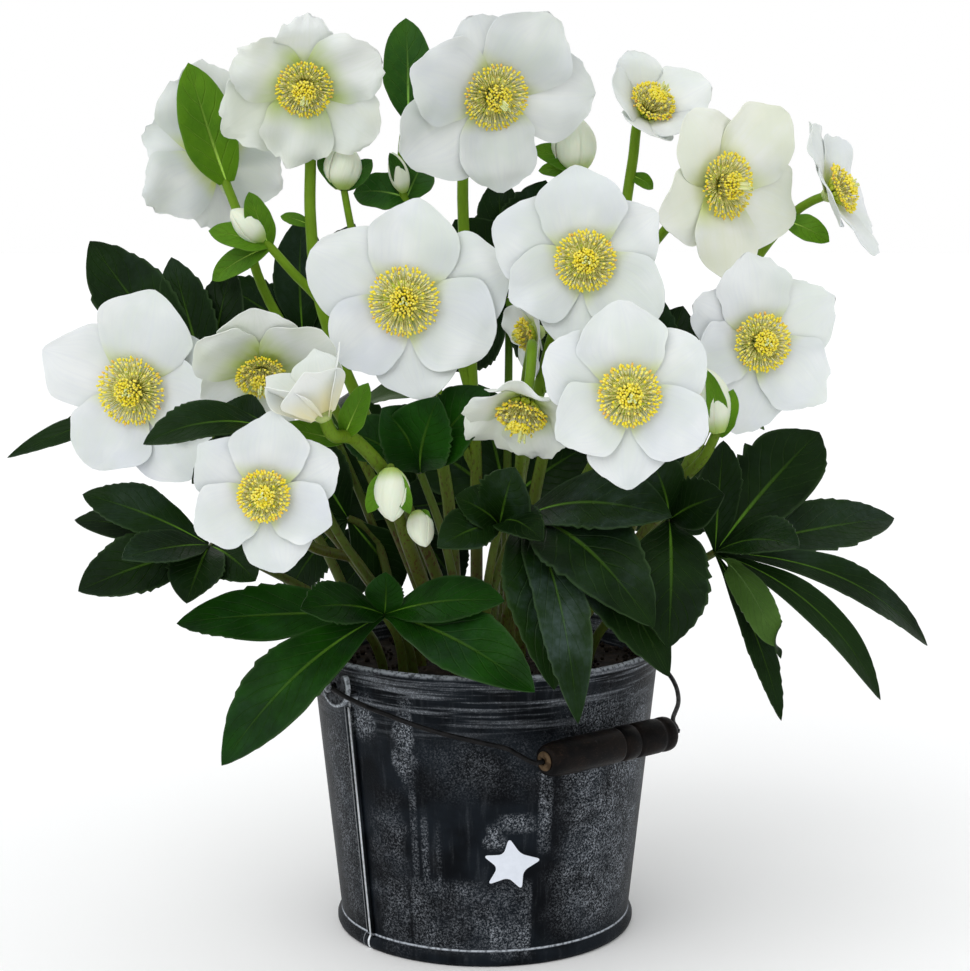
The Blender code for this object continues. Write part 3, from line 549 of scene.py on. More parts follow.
def buildBoss(key):
    centre, turn, rise, lift, petals, (spread, high) = blooms[key]
    centre = Vector(centre)
    right, up, front = facing(turn, rise)
    dice = random.Random("boss" + key)
    bm = startMesh()
    layer = bm.verts.layers.float["seed"]
    golden = math.pi * (3 - math.sqrt(5))

    def at(angle, far, above):
        return centre + (right * math.cos(angle) + up * math.sin(angle)) * far + front * above

    small = spread / 14
    for k in range(bossLook["outer"]):
        angle = math.tau * k / bossLook["outer"] + dice.uniform(-0.04, 0.04)
        far = spread * (1.0, 0.9, 0.97, 0.84, 0.94)[k % 5] * dice.uniform(0.97, 1.03)
        above = high * (0.92 - 0.3 * (far / spread) ** 2) + dice.uniform(-0.6, 0.8)
        ripe = dice.uniform(0.35, 0.95) if far > 0.94 * spread else dice.uniform(0.1, 0.7)
        addStamen(bm, at(angle, 3.4 * small, 3.0), at(angle, far, above), bossLook["outerThick"], ripe, dice,
                  bossLook["antherSize"])
    for k in range(bossLook["middle"]):
        far = spread * dice.uniform(0.55, 0.8)
        angle = golden * k + 0.4
        above = high * 0.95 + dice.uniform(-0.6, 0.8)
        addStamen(bm, at(angle, 3.0 * small, 3.0), at(angle, far, above), bossLook["middleThick"],
                  dice.uniform(0.2, 0.7), dice, bossLook["antherSize"])
    for k in range(bossLook["inner"]):
        far = 6.0 * small * math.sqrt((k + 2) / (bossLook["inner"] + 2))
        far += dice.uniform(-0.5, 0.5) * small
        angle = golden * k + dice.uniform(-0.12, 0.12)
        above = high + 1.2 - far * 0.2 + dice.uniform(-0.8, 0.8)
        addStamen(bm, at(angle, far * 0.6, 2.6), at(angle, far, above), bossLook["innerThick"],
                  dice.uniform(0.2, 0.66), dice, bossLook["innerAntherSize"])
    for k in range(bossLook["nectaries"]):
        angle = math.tau * (k + 0.5) / bossLook["nectaries"] + dice.uniform(-0.08, 0.08)
        seed = dice.random()
        foot = at(angle, 4.4 * small, 0.6)
        tip = at(angle, 8.2 * small, 4.2 + dice.uniform(-0.4, 0.4))
        verts = placeCone(bm, foot, tip, 0.6, 1.15, 7)
        markFaces(verts, 2)
        for v in verts:
            v[layer] = seed * 0.4 + (0.55 if (v.co - centre).dot(front) > 2.4 else 0)
    for k in range(bossLook["pistils"]):
        angle = golden * k * 1.7
        far = 1.2 * math.sqrt(k / bossLook["pistils"])
        sideways, upward, longer = pistilLean.get(key, (0, 0, 0))
        tip = at(angle, far * 1.6, high + 2.6 + longer + dice.uniform(-0.8, 0.6))
        tip += right * sideways + up * upward
        verts = placeCone(bm, at(angle, far, 2.0), tip, 0.95, 0.32, 7)
        verts += placeBead(bm, tip, front, 0.5, 0.5)
        markFaces(verts, 3)
        for v in verts:
            v[layer] = dice.random()
    keep("bloom" + key.upper() + "Stamens", bm, [antherYellow, filamentCream, nectaryGreen, pistilGreen],
         nodes=["bloom_" + key + "_stamens"])


for key in blooms:
    if blooms[key][5]:
        buildBoss(key)
print("stamens done")


# Flower stems with their bracts and buds

# "low" is the stems' colour low down among the leaves: partly their own darker olive, partly painted shade
# inside the plant
stemLook = {"high": (0.135, 0.25, 0.010), "low": (0.06, 0.066, 0.013), "speck": (0.05, 0.014, 0.008),
            "bract": (0.085, 0.20, 0.006), "bractMottle": (0.03, 0.10, 0.005),
            "bractDark": (0.012, 0.055, 0.006), "bractVein": (0.22, 0.36, 0.05), "bud": (0.76, 0.78, 0.66),
            "budShade": (0.62, 0.68, 0.45), "budFoot": (0.36, 0.50, 0.10), "bractThickness": 0.5,
            "budThickness": 0.4, "sepals": 5, "rooted": 160}


def stemMaterial(name, high, low, speckled):
    mat, tree, shader = newMaterial(name, 0.42, Subsurface_Weight=0.08, Subsurface_Scale=0.001,
                                    Specular_IOR_Level=0.12)
    place = surface(tree)
    z = axesOf(tree, place)["Z"]
    lines = noiseAt(tree, stretched(tree, place, (900, 900, 40)), 1.0, 3.0)
    patch = blotches(tree, place, 90.0, 0.2)
    # darker from 0.27 m down to 0.17 m: painted shade inside the plant, together with the lower stems' own
    # darker olive
    colour = blendColour(tree, ramp(tree, z, 0.27, 0.17), high, low)
    colour = blendColour(tree, times(tree, patch, 0.3), colour, tuple(c * 0.5 for c in high))
    specks = ramp(tree, noiseAt(tree, stretched(tree, place, (1, 1, 0.5)), 900.0, 2.0), 0.56, 0.64)
    specks = times(tree, specks, ramp(tree, z, 0.27, 0.17, 0.05, speckled))
    colour = blendColour(tree, specks, colour, stemLook["speck"])
    paintOn(tree, shader, colour, ramp(tree, patch, 0, 1, 0.36, 0.5), lines, 0.25, 0.0005)
    return mat


def bladeMaterial(name, main, dark, vein, margin, rough, bloomed=0.0, count=9.0, sideVeins=0.09, gloss=0.06):
    # main and dark mix in blotches; veins and margin are lighter; bloomed is the waxy blue-grey film
    mat, tree, shader = newMaterial(name, rough, Specular_IOR_Level=gloss)
    uv, place = ownMap(tree), surface(tree)
    lines = useGroup(tree, bladeVeins, {"UV": uv, "Count": count, "Slant": 0.32, "Wander": 0.05})
    blotch = blotches(tree, place, 45.0, 0.22)
    fine = blotches(tree, place, 420.0, 0.25)
    colour = blendColour(tree, blotch, main, dark)
    seed = seedOf(tree)
    if bloomed:
        film = times(tree, ramp(tree, noiseAt(tree, place, 28.0, 5.0, 0.65), 0.46, 0.72), bloomed)
        film = times(tree, film, ramp(tree, seed, 0.1, 0.9, 0.25, 1.0, smooth=False))
        film = times(tree, film, ramp(tree, fine, 0, 1, 0.55, 1.0))
        colour = blendColour(tree, film, colour, (0.062, 0.088, 0.092))
    colour = blendColour(tree, ramp(tree, seed, 0, 1, 0.0, 0.35, smooth=False), colour,
                         tuple(c * 1.5 for c in main))
    side = times(tree, lines["Side"], sideVeins)
    colour = blendColour(tree, side, colour, vein)
    strong = times(tree, lines["Midrib"], ramp(tree, lines["Along"], 0.9, 0.05, 0.12, 1.0))
    hub = ramp(tree, lines["Along"], 0.42, 0.04)
    colour = blendColour(tree, strong, colour, vein)
    colour = blendColour(tree, times(tree, hub, lines["Midrib"]), colour,
                         tuple(min(1, c * 2.4) for c in vein))
    colour = blendColour(tree, times(tree, lines["Margin"], 0.25), colour, margin)
    sunk = plus(tree, times(tree, lines["Side"], 0.7), lines["Midrib"])
    height = minus(tree, times(tree, fine, 0.25), sunk)
    paintOn(tree, shader, colour, ramp(tree, blotch, 0, 1, rough, rough + 0.12), height, 0.6, 0.0008)
    return mat


def budMaterial():
    mat, tree, shader = newMaterial("budCream", 0.45, Subsurface_Weight=0.15, Subsurface_Scale=0.002)
    uv = ownMap(tree)
    y = axesOf(tree, uv)["Y"]
    ribs = noiseAt(tree, stretched(tree, uv, (16, 1.5, 1)), 1.0, 3.0)
    colour = blendColour(tree, times(tree, ribs, 0.5), stemLook["bud"], stemLook["budShade"])
    colour = blendColour(tree, ramp(tree, y, 0.34, 0.02), colour, stemLook["budFoot"])
    paintOn(tree, shader, colour, None, ribs, 0.3, 0.0008)
    return mat


stemGreen = stemMaterial("stemGreen", stemLook["high"], stemLook["low"], 0.8)
bractGreen = bladeMaterial("bractGreen", stemLook["bract"], stemLook["bractMottle"], stemLook["bractVein"],
                           (0.16, 0.28, 0.05), 0.4, count=6.0, sideVeins=0.2, gloss=0.1)
bractDark = bladeMaterial("bractDark", stemLook["bractDark"], (0.03, 0.10, 0.006), (0.12, 0.24, 0.04),
                          (0.08, 0.16, 0.03), 0.38, count=6.0, sideVeins=0.16, gloss=0.1)
budCream = budMaterial()

# Each stem: where it stands, its routes, bracts and buds.
# A route is its start and end radius, its points and the bloom it carries.
# A bract is foot, tip, half width and arch; a bud is foot, tip and radius.
stems = {
    "a": ((-26, 14),
          [(2.6, 2.0, [(-30, 14, 150), (-60, 14, 220), (-97, 12, 283), (-108, 10, 316)], "a")],
          [((-116, 14, 337), (-130, -3, 389), 12, 3)], []),
    "b": ((-16, 0),
          [(3.0, 2.4, [(-22, 0, 160), (-50, -2, 225), (-72, -5, 280), (-77, -4, 320), (-77, -1, 352)], "b"),
           (2.4, 2.0, [(-66, -4, 264), (-72, -5, 283), (-85, -9, 298), (-97, -10, 312)], None)],
          [((-95, -10, 309), (-103, -15, 333), 6, 2), ((-95, -10, 310), (-121, -14, 316), 6.5, 2),
           ((-95, -10, 309), (-121, -4, 294), 6, 3), ((-77, -1, 318), (-91, 4, 322), 3, 2)],
          [((-97, -10, 312), (-111, -12, 325), 6)]),
    "c": ((-4, 14),
          [(3.0, 2.2, [(-4, 14, 200), (-6, 14, 250), (-10, 12, 330), (-7, 8, 360)], "c"),
           (2.2, 1.8, [(-5, 14, 235), (-20, 12, 288), (-36, 10, 330), (-37, 7, 350), (-34, 5, 369)], None),
           (2.0, 1.6, [(-4, 14, 205), (-25, 10, 250), (-52, 4, 285), (-59, 1, 315), (-63, 0, 337)], None)],
          [((-34, 5, 366), (-35, 10, 409), 11, 2), ((-35, 10, 330), (-59, 13, 332), 9, 3),
           ((-35, 10, 330), (-27, 13, 347), 9, 3), ((-62, 0, 334), (-74, 0, 348), 5, 2),
           ((-62, 0, 334), (-50, 2, 347), 5, 2), ((-37, 7, 335), (-42, -4, 350), 3.5, 2)],
          [((-63, 0, 334), (-63, 0, 355), 8), ((-36, 6, 333), (-41, 0, 350), 4)]),
    "d": ((16, 8),
          [(3.0, 2.2, [(20, 10, 180), (36, 15, 250), (58, 20, 300), (66, 21, 342)], "d"),
           (2.2, 1.8, [(50, 18, 279), (80, 2, 316), (87, -12, 330)], "e"),
           (2.2, 2.0, [(42, 17, 264), (43, 16, 320), (42, 12, 346)], None)],
          [((42, 12, 343), (21, 6, 352), 5.5, 2), ((42, 12, 343), (24, 14, 342), 4, 2),
           ((66, 21, 340), (76, 22, 334), 3.5, 2)],
          [((42, 12, 342), (36, 8, 368), 9.5)]),
    "f": ((30, -14),
          [(3.2, 2.4, [(42, -28, 145), (60, -54, 178), (78, -71, 207), (94, -62, 238), (108, -40, 262)], "i"),
           (2.4, 2.0, [(80, -70, 212), (90, -80, 224), (96, -86, 238)], None),
           (2.6, 2.0, [(48, -16, 150), (76, -18, 210), (101, -12, 270), (120, -4, 303), (136, 2, 322)], "f")],
          [((96, -85, 234), (101, -90, 254), 5, 3), ((134, 1, 320), (152, -6, 311), 6, 2),
           ((96, -85, 235), (90, -94, 262), 4, 4)],
          [((96, -86, 236), (90, -87, 262), 7.5)]),
    "g": ((-12, -24),
          [(3.0, 2.4, [(-16, -34, 200), (-28, -50, 262), (-33, -60, 282)], "g"),
           (3.4, 2.6, [(-14, -29, 140), (-24, -52, 160), (-34, -78, 194), (-38, -94, 216), (-52, -106, 235)],
            "p"),
           (1.8, 1.4, [(-33, -76, 192), (-30, -88, 200), (-27, -96, 204)], None),
           (1.8, 1.6, [(-38, -93, 214), (-38, -104, 224)], None)],
          [((-56, -110, 237), (-46, -116, 259), 5.5, 2), ((-57, -109, 235), (-82, -114, 241), 5, 1),
           ((-38, -104, 222), (-47, -110, 206), 4.5, 3), ((-38, -104, 223), (-30, -112, 206), 4, 3),
           ((-28, -94, 203), (-22, -98, 199), 3.5, 2)],
          [((-38, -104, 223), (-37, -111, 203), 7), ((-28, -94, 204), (-24, -101, 191), 5)]),
    "h": ((10, -16),
          [(3.2, 2.4, [(14, -24, 200), (28, -46, 268), (38, -68, 298)], "h"),
           (2.6, 2.2, [(11, -20, 150), (34, -50, 196), (50, -82, 232), (55, -103, 249)], "j"),
           (2.4, 2.0, [(15, -26, 206), (17, -58, 250), (19, -82, 270), (19, -92, 270)], "k"),
           (2.2, 1.8, [(24, -40, 249), (38, -30, 254), (40, -28, 266)], "l")],
          [], []),
    "m": ((-30, -6),
          [(3.0, 2.2, [(-44, -16, 150), (-72, -28, 190), (-112, -36, 226), (-138, -42, 244)], "m"),
           (2.4, 2.0, [(-70, -27, 188), (-86, -40, 228), (-93, -50, 262), (-93, -60, 271)], "n"),
           (2.4, 2.0, [(-60, -23, 173), (-74, -50, 182), (-84, -82, 198), (-87, -104, 210)], "o")],
          [], []),
}

# Heights at which stems and stalks start in the soil and come out of it
rootHeights = (98, 124)

# Half a blade's width along it, as places and shares
bractOutline = [(0, 0.3), (0.12, 0.66), (0.34, 1.0), (0.6, 0.98), (0.8, 0.74), (0.93, 0.42), (1, 0)]
leafOutline = [(0, 0.08), (0.12, 0.3), (0.28, 0.72), (0.44, 0.95), (0.56, 1.02), (0.68, 0.97), (0.8, 0.78),
               (0.9, 0.5), (0.96, 0.26), (1, 0)]
backOutline = [(0, 0.08), (0.14, 0.42), (0.32, 0.84), (0.5, 1.0), (0.68, 0.95), (0.82, 0.7), (0.93, 0.36),
               (1, 0)]


def addBlade(bm, foot, tip, half, arch, face, outline, dice, rows, across, teeth=0, turned=0):
    # turned rolls the blade over about its midrib, in degrees at its most
    wavy = 0.6
    foot, tip, face = Vector(foot), Vector(tip), unit(face)
    run = tip - foot
    face = unit(face - face.project(run))
    side = unit(run.cross(face))
    crown = foot + run * 0.5 + face * arch * 2
    seed = dice.random()
    swing = dice.uniform(-1, 1) * half * 0.10
    twist = dice.uniform(-0.25, 0.25)

    def place(u, v):
        flank = noiseValue(u * 3.0, seed * 33, 4 if v > 0 else 9)
        w = half * softValue(outline, u) * (1 + 0.16 * flank * math.sin(math.pi * u))
        if teeth and 0.28 < u < 0.985 and abs(v) > 0.9:
            loose = noiseValue(u * 4, seed * 50, 7 if v > 0 else 1)
            cut = max(0, 0.07 + 0.22 * loose)
            w *= 1.02 + cut * ((u * teeth + 1.6 * loose) % 1.0 - 0.5) * smoothStep((u - 0.36) / 0.24)
        mid = foot * (1 - u) ** 2 + crown * (2 * u * (1 - u)) + tip * u * u
        fold = math.sqrt(v * v + 0.02) - 0.14
        ruffle = math.sin(u * 11 + seed * 25 + (2 if v > 0 else 0)) * abs(v) ** 1.5 * math.sin(math.pi * u)
        bulge = noiseValue(v * 1.2, u * 2.2, seed * 30) * math.sin(math.pi * u)
        lift = fold * w * 0.24 + wavy * (ruffle * 0.07 * half + bulge * 0.08 * half)
        lift += twist * v * w * u * (1 - u)
        roll = math.radians(turned) * smoothStep((u - 0.06) / 0.22) * smoothStep((1.04 - u) / 0.3)
        over = side * math.cos(roll) + face * math.sin(roll)
        flat = face * math.cos(roll) - side * math.sin(roll)
        return mid + side * (swing * math.sin(math.pi * u)) + over * (v * w) + flat * lift

    bentSheet(bm, across, rows, place, seed)


def addBud(bm, foot, tip, radius, dice):
    foot, tip = Vector(foot), Vector(tip)
    length = (tip - foot).length
    turn = Vector((0, 0, 1)).rotation_difference(unit(tip - foot))
    start = dice.uniform(0, 360)
    for k in range(stemLook["sepals"]):
        middle = math.radians(start + 360 / stemLook["sepals"] * k)

        def place(u, v):
            round_ = math.sin(math.pi * min(0.997, 0.05 + u * 0.947)) ** 0.6
            r = radius * round_ * (1.12 - 0.2 * u) * (1 + 0.12 * v - 0.07 * v * v)
            a = middle + 0.9 * u + v * math.radians(60) * (1 - 0.35 * u ** 3)
            return turn @ Vector((r * math.cos(a), r * math.sin(a), length * u)) + foot

        bentSheet(bm, 8, 12, place, dice.random())


def buildStem(key):
    (x, y), routes, bracts, buds = stems[key]
    dice = random.Random("stem" + key)
    lines = []
    for k, (start, end, points, bloom) in enumerate(routes):
        line = list(points)
        if k == 0 or line[0][2] < stemLook["rooted"]:  # a route that starts higher grows from another
            line = [(x, y, z) for z in rootHeights] + line
        if bloom:
            centre, turn, rise = blooms[bloom][:3]
            front = facing(turn, rise)[2]
            line += [Vector(centre) - front * 10, Vector(centre) - front * 1.2]
        lines.append((line, start, end))
    mesh = rodsMesh("stem" + key.upper(), lines)
    keepMesh("stem" + key.upper(), mesh, [stemGreen], nodes=["stem_" + key])
    if bracts:
        bm = startMesh()
        for foot, tip, half, arch in bracts:
            addBlade(bm, foot, tip, half, arch, (0, -0.9, 0.4), bractOutline, dice, 18, 8)
        piece = keep("stem" + key.upper() + "Bracts", bm, [bractDark if key == "c" else bractGreen],
                     nodes=["stem_" + key])
        thicken(piece, stemLook["bractThickness"])
    if buds:
        bm = startMesh()
        for foot, tip, radius in buds:
            addBud(bm, foot, tip, radius, dice)
        piece = keep("stem" + key.upper() + "Buds", bm, [budCream], nodes=["stem_" + key])
        thicken(piece, stemLook["budThickness"])


for key in stems:
    buildStem(key)


def buildCups():
    # the green-white swelling behind each bloom, where the petals meet the stem
    bm = startMesh()
    for centre, turn, rise, *rest in blooms.values():
        front = facing(turn, rise)[2]
        centre = Vector(centre)
        placeCone(bm, centre - front * 3.4, centre + front * 0.6, 2.2, 5.0, 20)
        placeBead(bm, centre + front * 0.4, front, 4.9, 1.6, 2)
    keep("bloomCups", bm, [cupGreen])


cupGreen = stemMaterial("cupGreen", (0.45, 0.55, 0.2), (0.3, 0.4, 0.1), 0.0)
buildCups()
print("stems done")


# Leaves

leafLook = {"dark": (0.0065, 0.021, 0.003), "deep": (0.002, 0.008, 0.0015), "vein": (0.06, 0.14, 0.012),
            "fresh": (0.009, 0.052, 0.003), "freshDeep": (0.003, 0.017, 0.0015),
            "margin": (0.06, 0.11, 0.04), "under": (0.05, 0.105, 0.018), "underDeep": (0.03, 0.07, 0.012),
            "rows": 60, "across": 8, "teeth": 13, "film": 0.3, "waxyFilm": 0.9, "thickness": 0.5,
            "stalkFoot": 2.4, "stalkTop": 1.7, "backWider": 1.18}


def leafMaterial(name, main, deep, rough, film):
    main, deep, vein, margin = (leafLook[k] for k in (main, deep, "vein", "margin"))
    return bladeMaterial(name, main, deep, vein, margin, rough, leafLook[film])


leafTop = leafMaterial("leafTop", "dark", "deep", 0.3, "film")
leafWaxy = leafMaterial("leafWaxy", "dark", "deep", 0.36, "waxyFilm")
leafFresh = leafMaterial("leafFresh", "fresh", "freshDeep", 0.3, "film")
leafKinds = {"a": leafFresh, "b": leafFresh, "c": leafWaxy, "d": leafWaxy}
leafUnder = bladeMaterial("leafUnder", leafLook["under"], leafLook["underDeep"], (0.10, 0.18, 0.05),
                          (0.12, 0.18, 0.08), 0.5, sideVeins=0.3)
# the stalks' second colour, low down, is painted shade inside the plant as on the stems, together with their
# own darker green
stalkGreen = stemMaterial("stalkGreen", (0.07, 0.15, 0.01), (0.06, 0.08, 0.014), 0.5)

# Each leaf: its stalks, each with a foot in the soil or on another stalk, its points up to the hub,
# the way its upper face looks, and leaflets as tip, half width and arch.
leaves = {
    "a": [((-36, -36), [(-38, -42, 140), (-43, -58, 154)], (0.0, -0.75, 0.65),
           [((-132, -58, 150), 13, 6), ((-109, -96, 98), 15, 16), ((-76, -92, 163), 12, 3),
            ((-42, -66, 174), 8, 2), ((8, -94, 167), 12, 4), ((20, -120, 135), 15, 8)])],
    "b": [((-9, -54), [(-12, -58, 160), (-18, -63, 190), (-27, -70, 217)], (0.0, -0.8, 0.6),
           [((-42, -86, 246), 14, 4), ((-19, -92, 251), 14, 4), ((2, -88, 254), 14, 5),
            ((-60, -70, 236), 12, 4)])],
    "c": [((-2, -44), [(-1, -52, 150), (3, -74, 182), (6, -88, 197)], (0.0, -0.8, 0.6),
           [((-19, -116, 193), 10, 5), ((23, -124, 197), 9, 6), ((12, -106, 224), 12, 3),
            ((-12, -100, 211), 10, 3)]),
          (None, [(-1, -52, 150), (7, -63, 178), (15, -72, 198)], (0.1, -0.75, 0.65),
           [((74, -120, 206), 17, 8), ((66, -138, 165), 18, 16), ((27, -142, 141), 15, 16),
            ((36, -152, 130), 11, 22), ((73, -128, 143), 16, 20)])],
    "d": [((38, -34), [(44, -42, 150), (64, -70, 184), (76, -84, 199)], (0.1, -0.85, 0.5),
           [((72, -134, 156), 16, 10), ((65, -99, 230), 10.5, 3), ((97, -100, 212), 11, 3)])],
    "e": [((46, -18), [(56, -26, 146), (84, -48, 170), (98, -58, 181)], (0.1, -0.7, 0.7),
           [((146, -28, 229), 18, 4), ((182, -16, 189), 13, 5), ((128, -98, 190), 13, 4),
            ((190, -56, 140), 8.5, 19), ((166, -80, 122), 7.5, 19), ((120, -108, 146), 7, 8),
            ((124, -84, 114), 6, 8), ((100, -66, 230), 10, 2)])],
    "f": [((-46, -20), [(-58, -28, 146), (-96, -44, 172), (-118, -52, 183)], (-0.1, -0.75, 0.65),
           [((-172, -52, 205), 11, 6), ((-178, -40, 192), 8, 5), ((-170, -78, 168), 15, 4),
            ((-149, -92, 184), 11, 3), ((-124, -84, 164), 12, 4), ((-96, -76, 172), 12, 3)]),
          (None, [(-55, -26, 142), (-74, -10, 178), (-100, -6, 212), (-122, -6, 238)], (-0.2, -0.8, 0.55),
           [((-177, 8, 311), 17, 2), ((-140, 4, 304), 12, 3), ((-113, 4, 300), 12, 3),
            ((-212, -14, 216), 6, 10), ((-182, -20, 246), 11, 4), ((-150, -26, 214), 12, 4)])],
    "g": [((-32, -28), [(-40, -38, 150), (-62, -64, 190), (-76, -84, 226), (-86, -94, 238)],
           (-0.1, -0.6, 0.8),
           [((-136, -112, 234), 11, 8), ((-118, -104, 217), 8, 4), ((-108, -84, 246), 8, 3)])],
    "h": [((-40, 26), [(-50, 34, 170), (-72, 36, 225), (-84, 34, 262)], (0.0, -0.8, 0.6),
           [((-84, 34, 322), 12, 3), ((-60, 40, 318), 12, 3), ((-124, 30, 292), 12, 4),
            ((-52, 30, 284), 13, 4), ((-104, 30, 246), 13, 4)]),
          (None, [(-50, 34, 170), (-57, 32, 178), (-64, 30, 182)], (-0.1, -0.85, 0.5),
           [((-118, 28, 204), 14, 4), ((-116, 26, 168), 13, 4), ((-84, 26, 222), 13, 4),
            ((-92, 24, 146), 12, 5), ((-40, 42, 146), 12, 3)])],
    "i": [((8, 32), [(10, 36, 180), (11, 38, 250), (11, 38, 284)], (0.0, -0.85, 0.5),
           [((-14, 34, 320), 15, 3), ((28, 38, 338), 14, 3), ((6, 45, 340), 10, 3),
            ((40, 36, 300), 12, 3), ((-18, 36, 288), 12, 3),
            ((-18, 46, 250), 13, 2), ((34, 46, 248), 13, 2)]),
          (None, [(10, 36, 176), (10, 38, 182), (10, 40, 188)], (0.0, -0.95, 0.3),
           [((-40, 42, 222), 14, 1), ((-44, 42, 184), 13, 1), ((50, 38, 216), 13, 1),
            ((46, 38, 176), 12, 1), ((-4, 40, 244), 13, 2)])],
    "j": [((40, 2), [(46, 0, 170), (62, -20, 215), (68, -34, 238)], (0.1, -0.8, 0.6),
           [((94, -66, 259), 8, 14), ((72, -42, 292), 11, 3), ((52, -46, 262), 10, 3),
            ((86, -26, 284), 14, 3)])],
    "k": [((30, 34), [(40, 44, 170), (66, 62, 205), (84, 72, 218)], (0.3, 0.5, 0.8),
           [((150, 60, 230), 12, 12), ((140, 110, 214), 12, 12), ((92, 136, 220), 12, 12),
            ((48, 120, 232), 11, 10), ((112, 44, 256), 11, 4)]),
          (None, [(40, 44, 170), (47, 42, 178), (54, 40, 184)], (0.1, -0.85, 0.5),
           [((106, 34, 214), 14, 4), ((108, 32, 178), 13, 4), ((74, 36, 236), 12, 4)])],
    "l": [((-26, 40), [(-34, 52, 170), (-56, 72, 205), (-70, 82, 216)], (-0.3, 0.5, 0.8),
           [((-140, 66, 226), 12, 12), ((-126, 118, 210), 12, 12), ((-76, 144, 216), 12, 12),
            ((-26, 124, 230), 11, 10), ((-104, 52, 254), 11, 4)]),
          (None, [(-34, 52, 170), (-37, 54, 176), (-38, 56, 180)], (0.0, -0.95, 0.3),
           [((-86, 62, 200), 14, 1), ((-64, 60, 236), 14, 1), ((-22, 58, 240), 13, 1), ((4, 58, 204), 13, 1),
            ((-70, 56, 142), 13, 1), ((-12, 56, 144), 13, 1)])],
    "m": [((4, 48), [(6, 66, 160), (8, 88, 180)], (0.0, 0.7, 0.7),
           [((-48, 112, 172), 11, 12), ((-20, 146, 160), 12, 14), ((36, 148, 160), 12, 14),
            ((62, 108, 172), 11, 12), ((10, 120, 222), 11, 6)]),
          (None, [(6, 66, 160), (14, 70, 166), (20, 72, 170)], (0.0, -0.95, 0.3),
           [((66, 76, 176), 14, 1), ((58, 80, 218), 14, 1), ((22, 76, 226), 13, 1),
            ((60, 66, 142), 13, 1)])],
}

# Leaflets that have rolled over, by leaf and place in its list
turnedLeaflets = {("e", 5): 165}


def buildLeaf(key):
    dice = random.Random("leaf" + key)
    bm = startMesh()
    lines = []
    for place, points, face, leaflets in leaves[key]:
        line = ([(*place, z) for z in rootHeights] if place else []) + points
        lines.append((line, leafLook["stalkFoot"], leafLook["stalkTop"]))
        hub = Vector(points[-1])
        for k, (tip, half, arch) in enumerate(leaflets):
            foot = hub + unit(Vector(tip) - hub) * 0.6
            half *= leafLook["backWider"] if key in "ilm" else 1
            addBlade(bm, foot, tip, half, arch, face, backOutline if key in "hijklm" else leafOutline, dice,
                     leafLook["rows"], leafLook["across"], leafLook["teeth"],
                     turned=turnedLeaflets.get((key, k), 0))
    piece = keep("leaf" + key.upper(), bm, [leafKinds.get(key, leafTop), leafUnder], nodes=["leaf_" + key])
    thicken(piece, leafLook["thickness"], 1)
    mesh = rodsMesh("leaf" + key.upper() + "Stalks", lines)
    keepMesh("leaf" + key.upper() + "Stalks", mesh, [stalkGreen], nodes=["leaf_" + key])


for key in leaves:
    buildLeaf(key)
print("leaves done")


# The bucket

pail = {"height": 131.9, "top": 80.0, "foot": 65.4, "wall": 1.4, "steps": 128, "seamAt": 221.0,
        "black": (0.0022, 0.003, 0.0042), "blackLight": (0.007, 0.0098, 0.0135), "wash": (0.50, 0.54, 0.60),
        "star": (0.70, 0.74, 0.82), "starAt": (0.165, 47.0),
        "starTips": [(97, 12.4), (6, 13.4), (-69, 12.8), (-139, 13.8), (161, 13.4)], "starNotch": 0.46,
        "starRound": 2.2, "unrollRadius": 74.0, "seamWidth": 3.4,
        "starCoat": 0.16, "starProud": 0.12}


def wallRadius(z):
    return pail["foot"] + (pail["top"] - 0.6 - pail["foot"]) * z / pail["height"]


def washPatchGroup():
    # a patch in the unrolled wall, from left to right and low to high, with soft ends
    names = ["Across", "Up", "Left", "Right", "Low", "High", "SoftX", "SoftZ"]
    group, ins, outs = newGroup("washPatch", [(n, "NodeSocketFloat") for n in names],
                                [("Mask", "NodeSocketFloat")])

    def edge(value, place, soft, way):
        a = minus(group, place, soft)
        b = plus(group, place, soft)
        return ramp(group, value, a if way > 0 else b, b if way > 0 else a)

    mask = times(group, edge(ins["Across"], ins["Left"], ins["SoftX"], 1),
                 edge(ins["Across"], ins["Right"], ins["SoftX"], -1))
    mask = times(group, mask, edge(ins["Up"], ins["Low"], ins["SoftZ"], 1))
    mask = times(group, mask, edge(ins["Up"], ins["High"], ins["SoftZ"], -1))
    group.links.new(mask, outs["Mask"])
    return group


washPatch = washPatchGroup()

# Rubbed patches of white wash: left and right round the wall from the front, low and high, all in mm,
# then how soft their ends are across and upwards, and their strength
washPatches = [(-36, 22, 7, 38, 1.0, 3.0, 0.4), (2, 22, 7, 20, 1.0, 6.0, 0.8),
               (38, 96, 14, 116, 13.0, 10.0, 0.8), (-39, -31, 84, 118, 2.0, 9.0, 1.0),
               (-52, -38, 6, 70, 4.0, 12.0, 0.35), (-26, 34, 80, 104, 14.0, 9.0, 0.2),
               (6, 20, 62, 69, 5.0, 2.0, 1.0), (1, 7, 55, 64, 2.0, 3.0, 0.9),
               (24, 30, 54, 92, 1.0, 6.0, 0.75), (-90, -66, 12, 110, 5.0, 20.0, 0.5),
               (-34, -31, 8, 118, 0.8, 10.0, 0.4), (-29, -26, 34, 66, 0.9, 9.0, 0.5),
               (-22, -20, 30, 60, 0.9, 9.0, 0.4), (-62, -50, 100, 118, 3.0, 5.0, 1.0),
               (-58, -44, 20, 60, 3.0, 12.0, 0.2), (96, 160, 20, 120, 18.0, 20.0, 0.5),
               (-200, -110, 14, 110, 25.0, 20.0, 0.45), (-118, -96, 10, 100, 8.0, 20.0, 0.2)]


def unroll(tree, place):
    # distance round the wall from the front, in mm, and height in mm
    parts = axesOf(tree, place)
    angle = mathNode(tree, "ARCTAN2", parts["X"], times(tree, parts["Y"], -1.0))
    up = times(tree, parts["Z"], 1000.0)
    return times(tree, angle, pail["unrollRadius"]), up


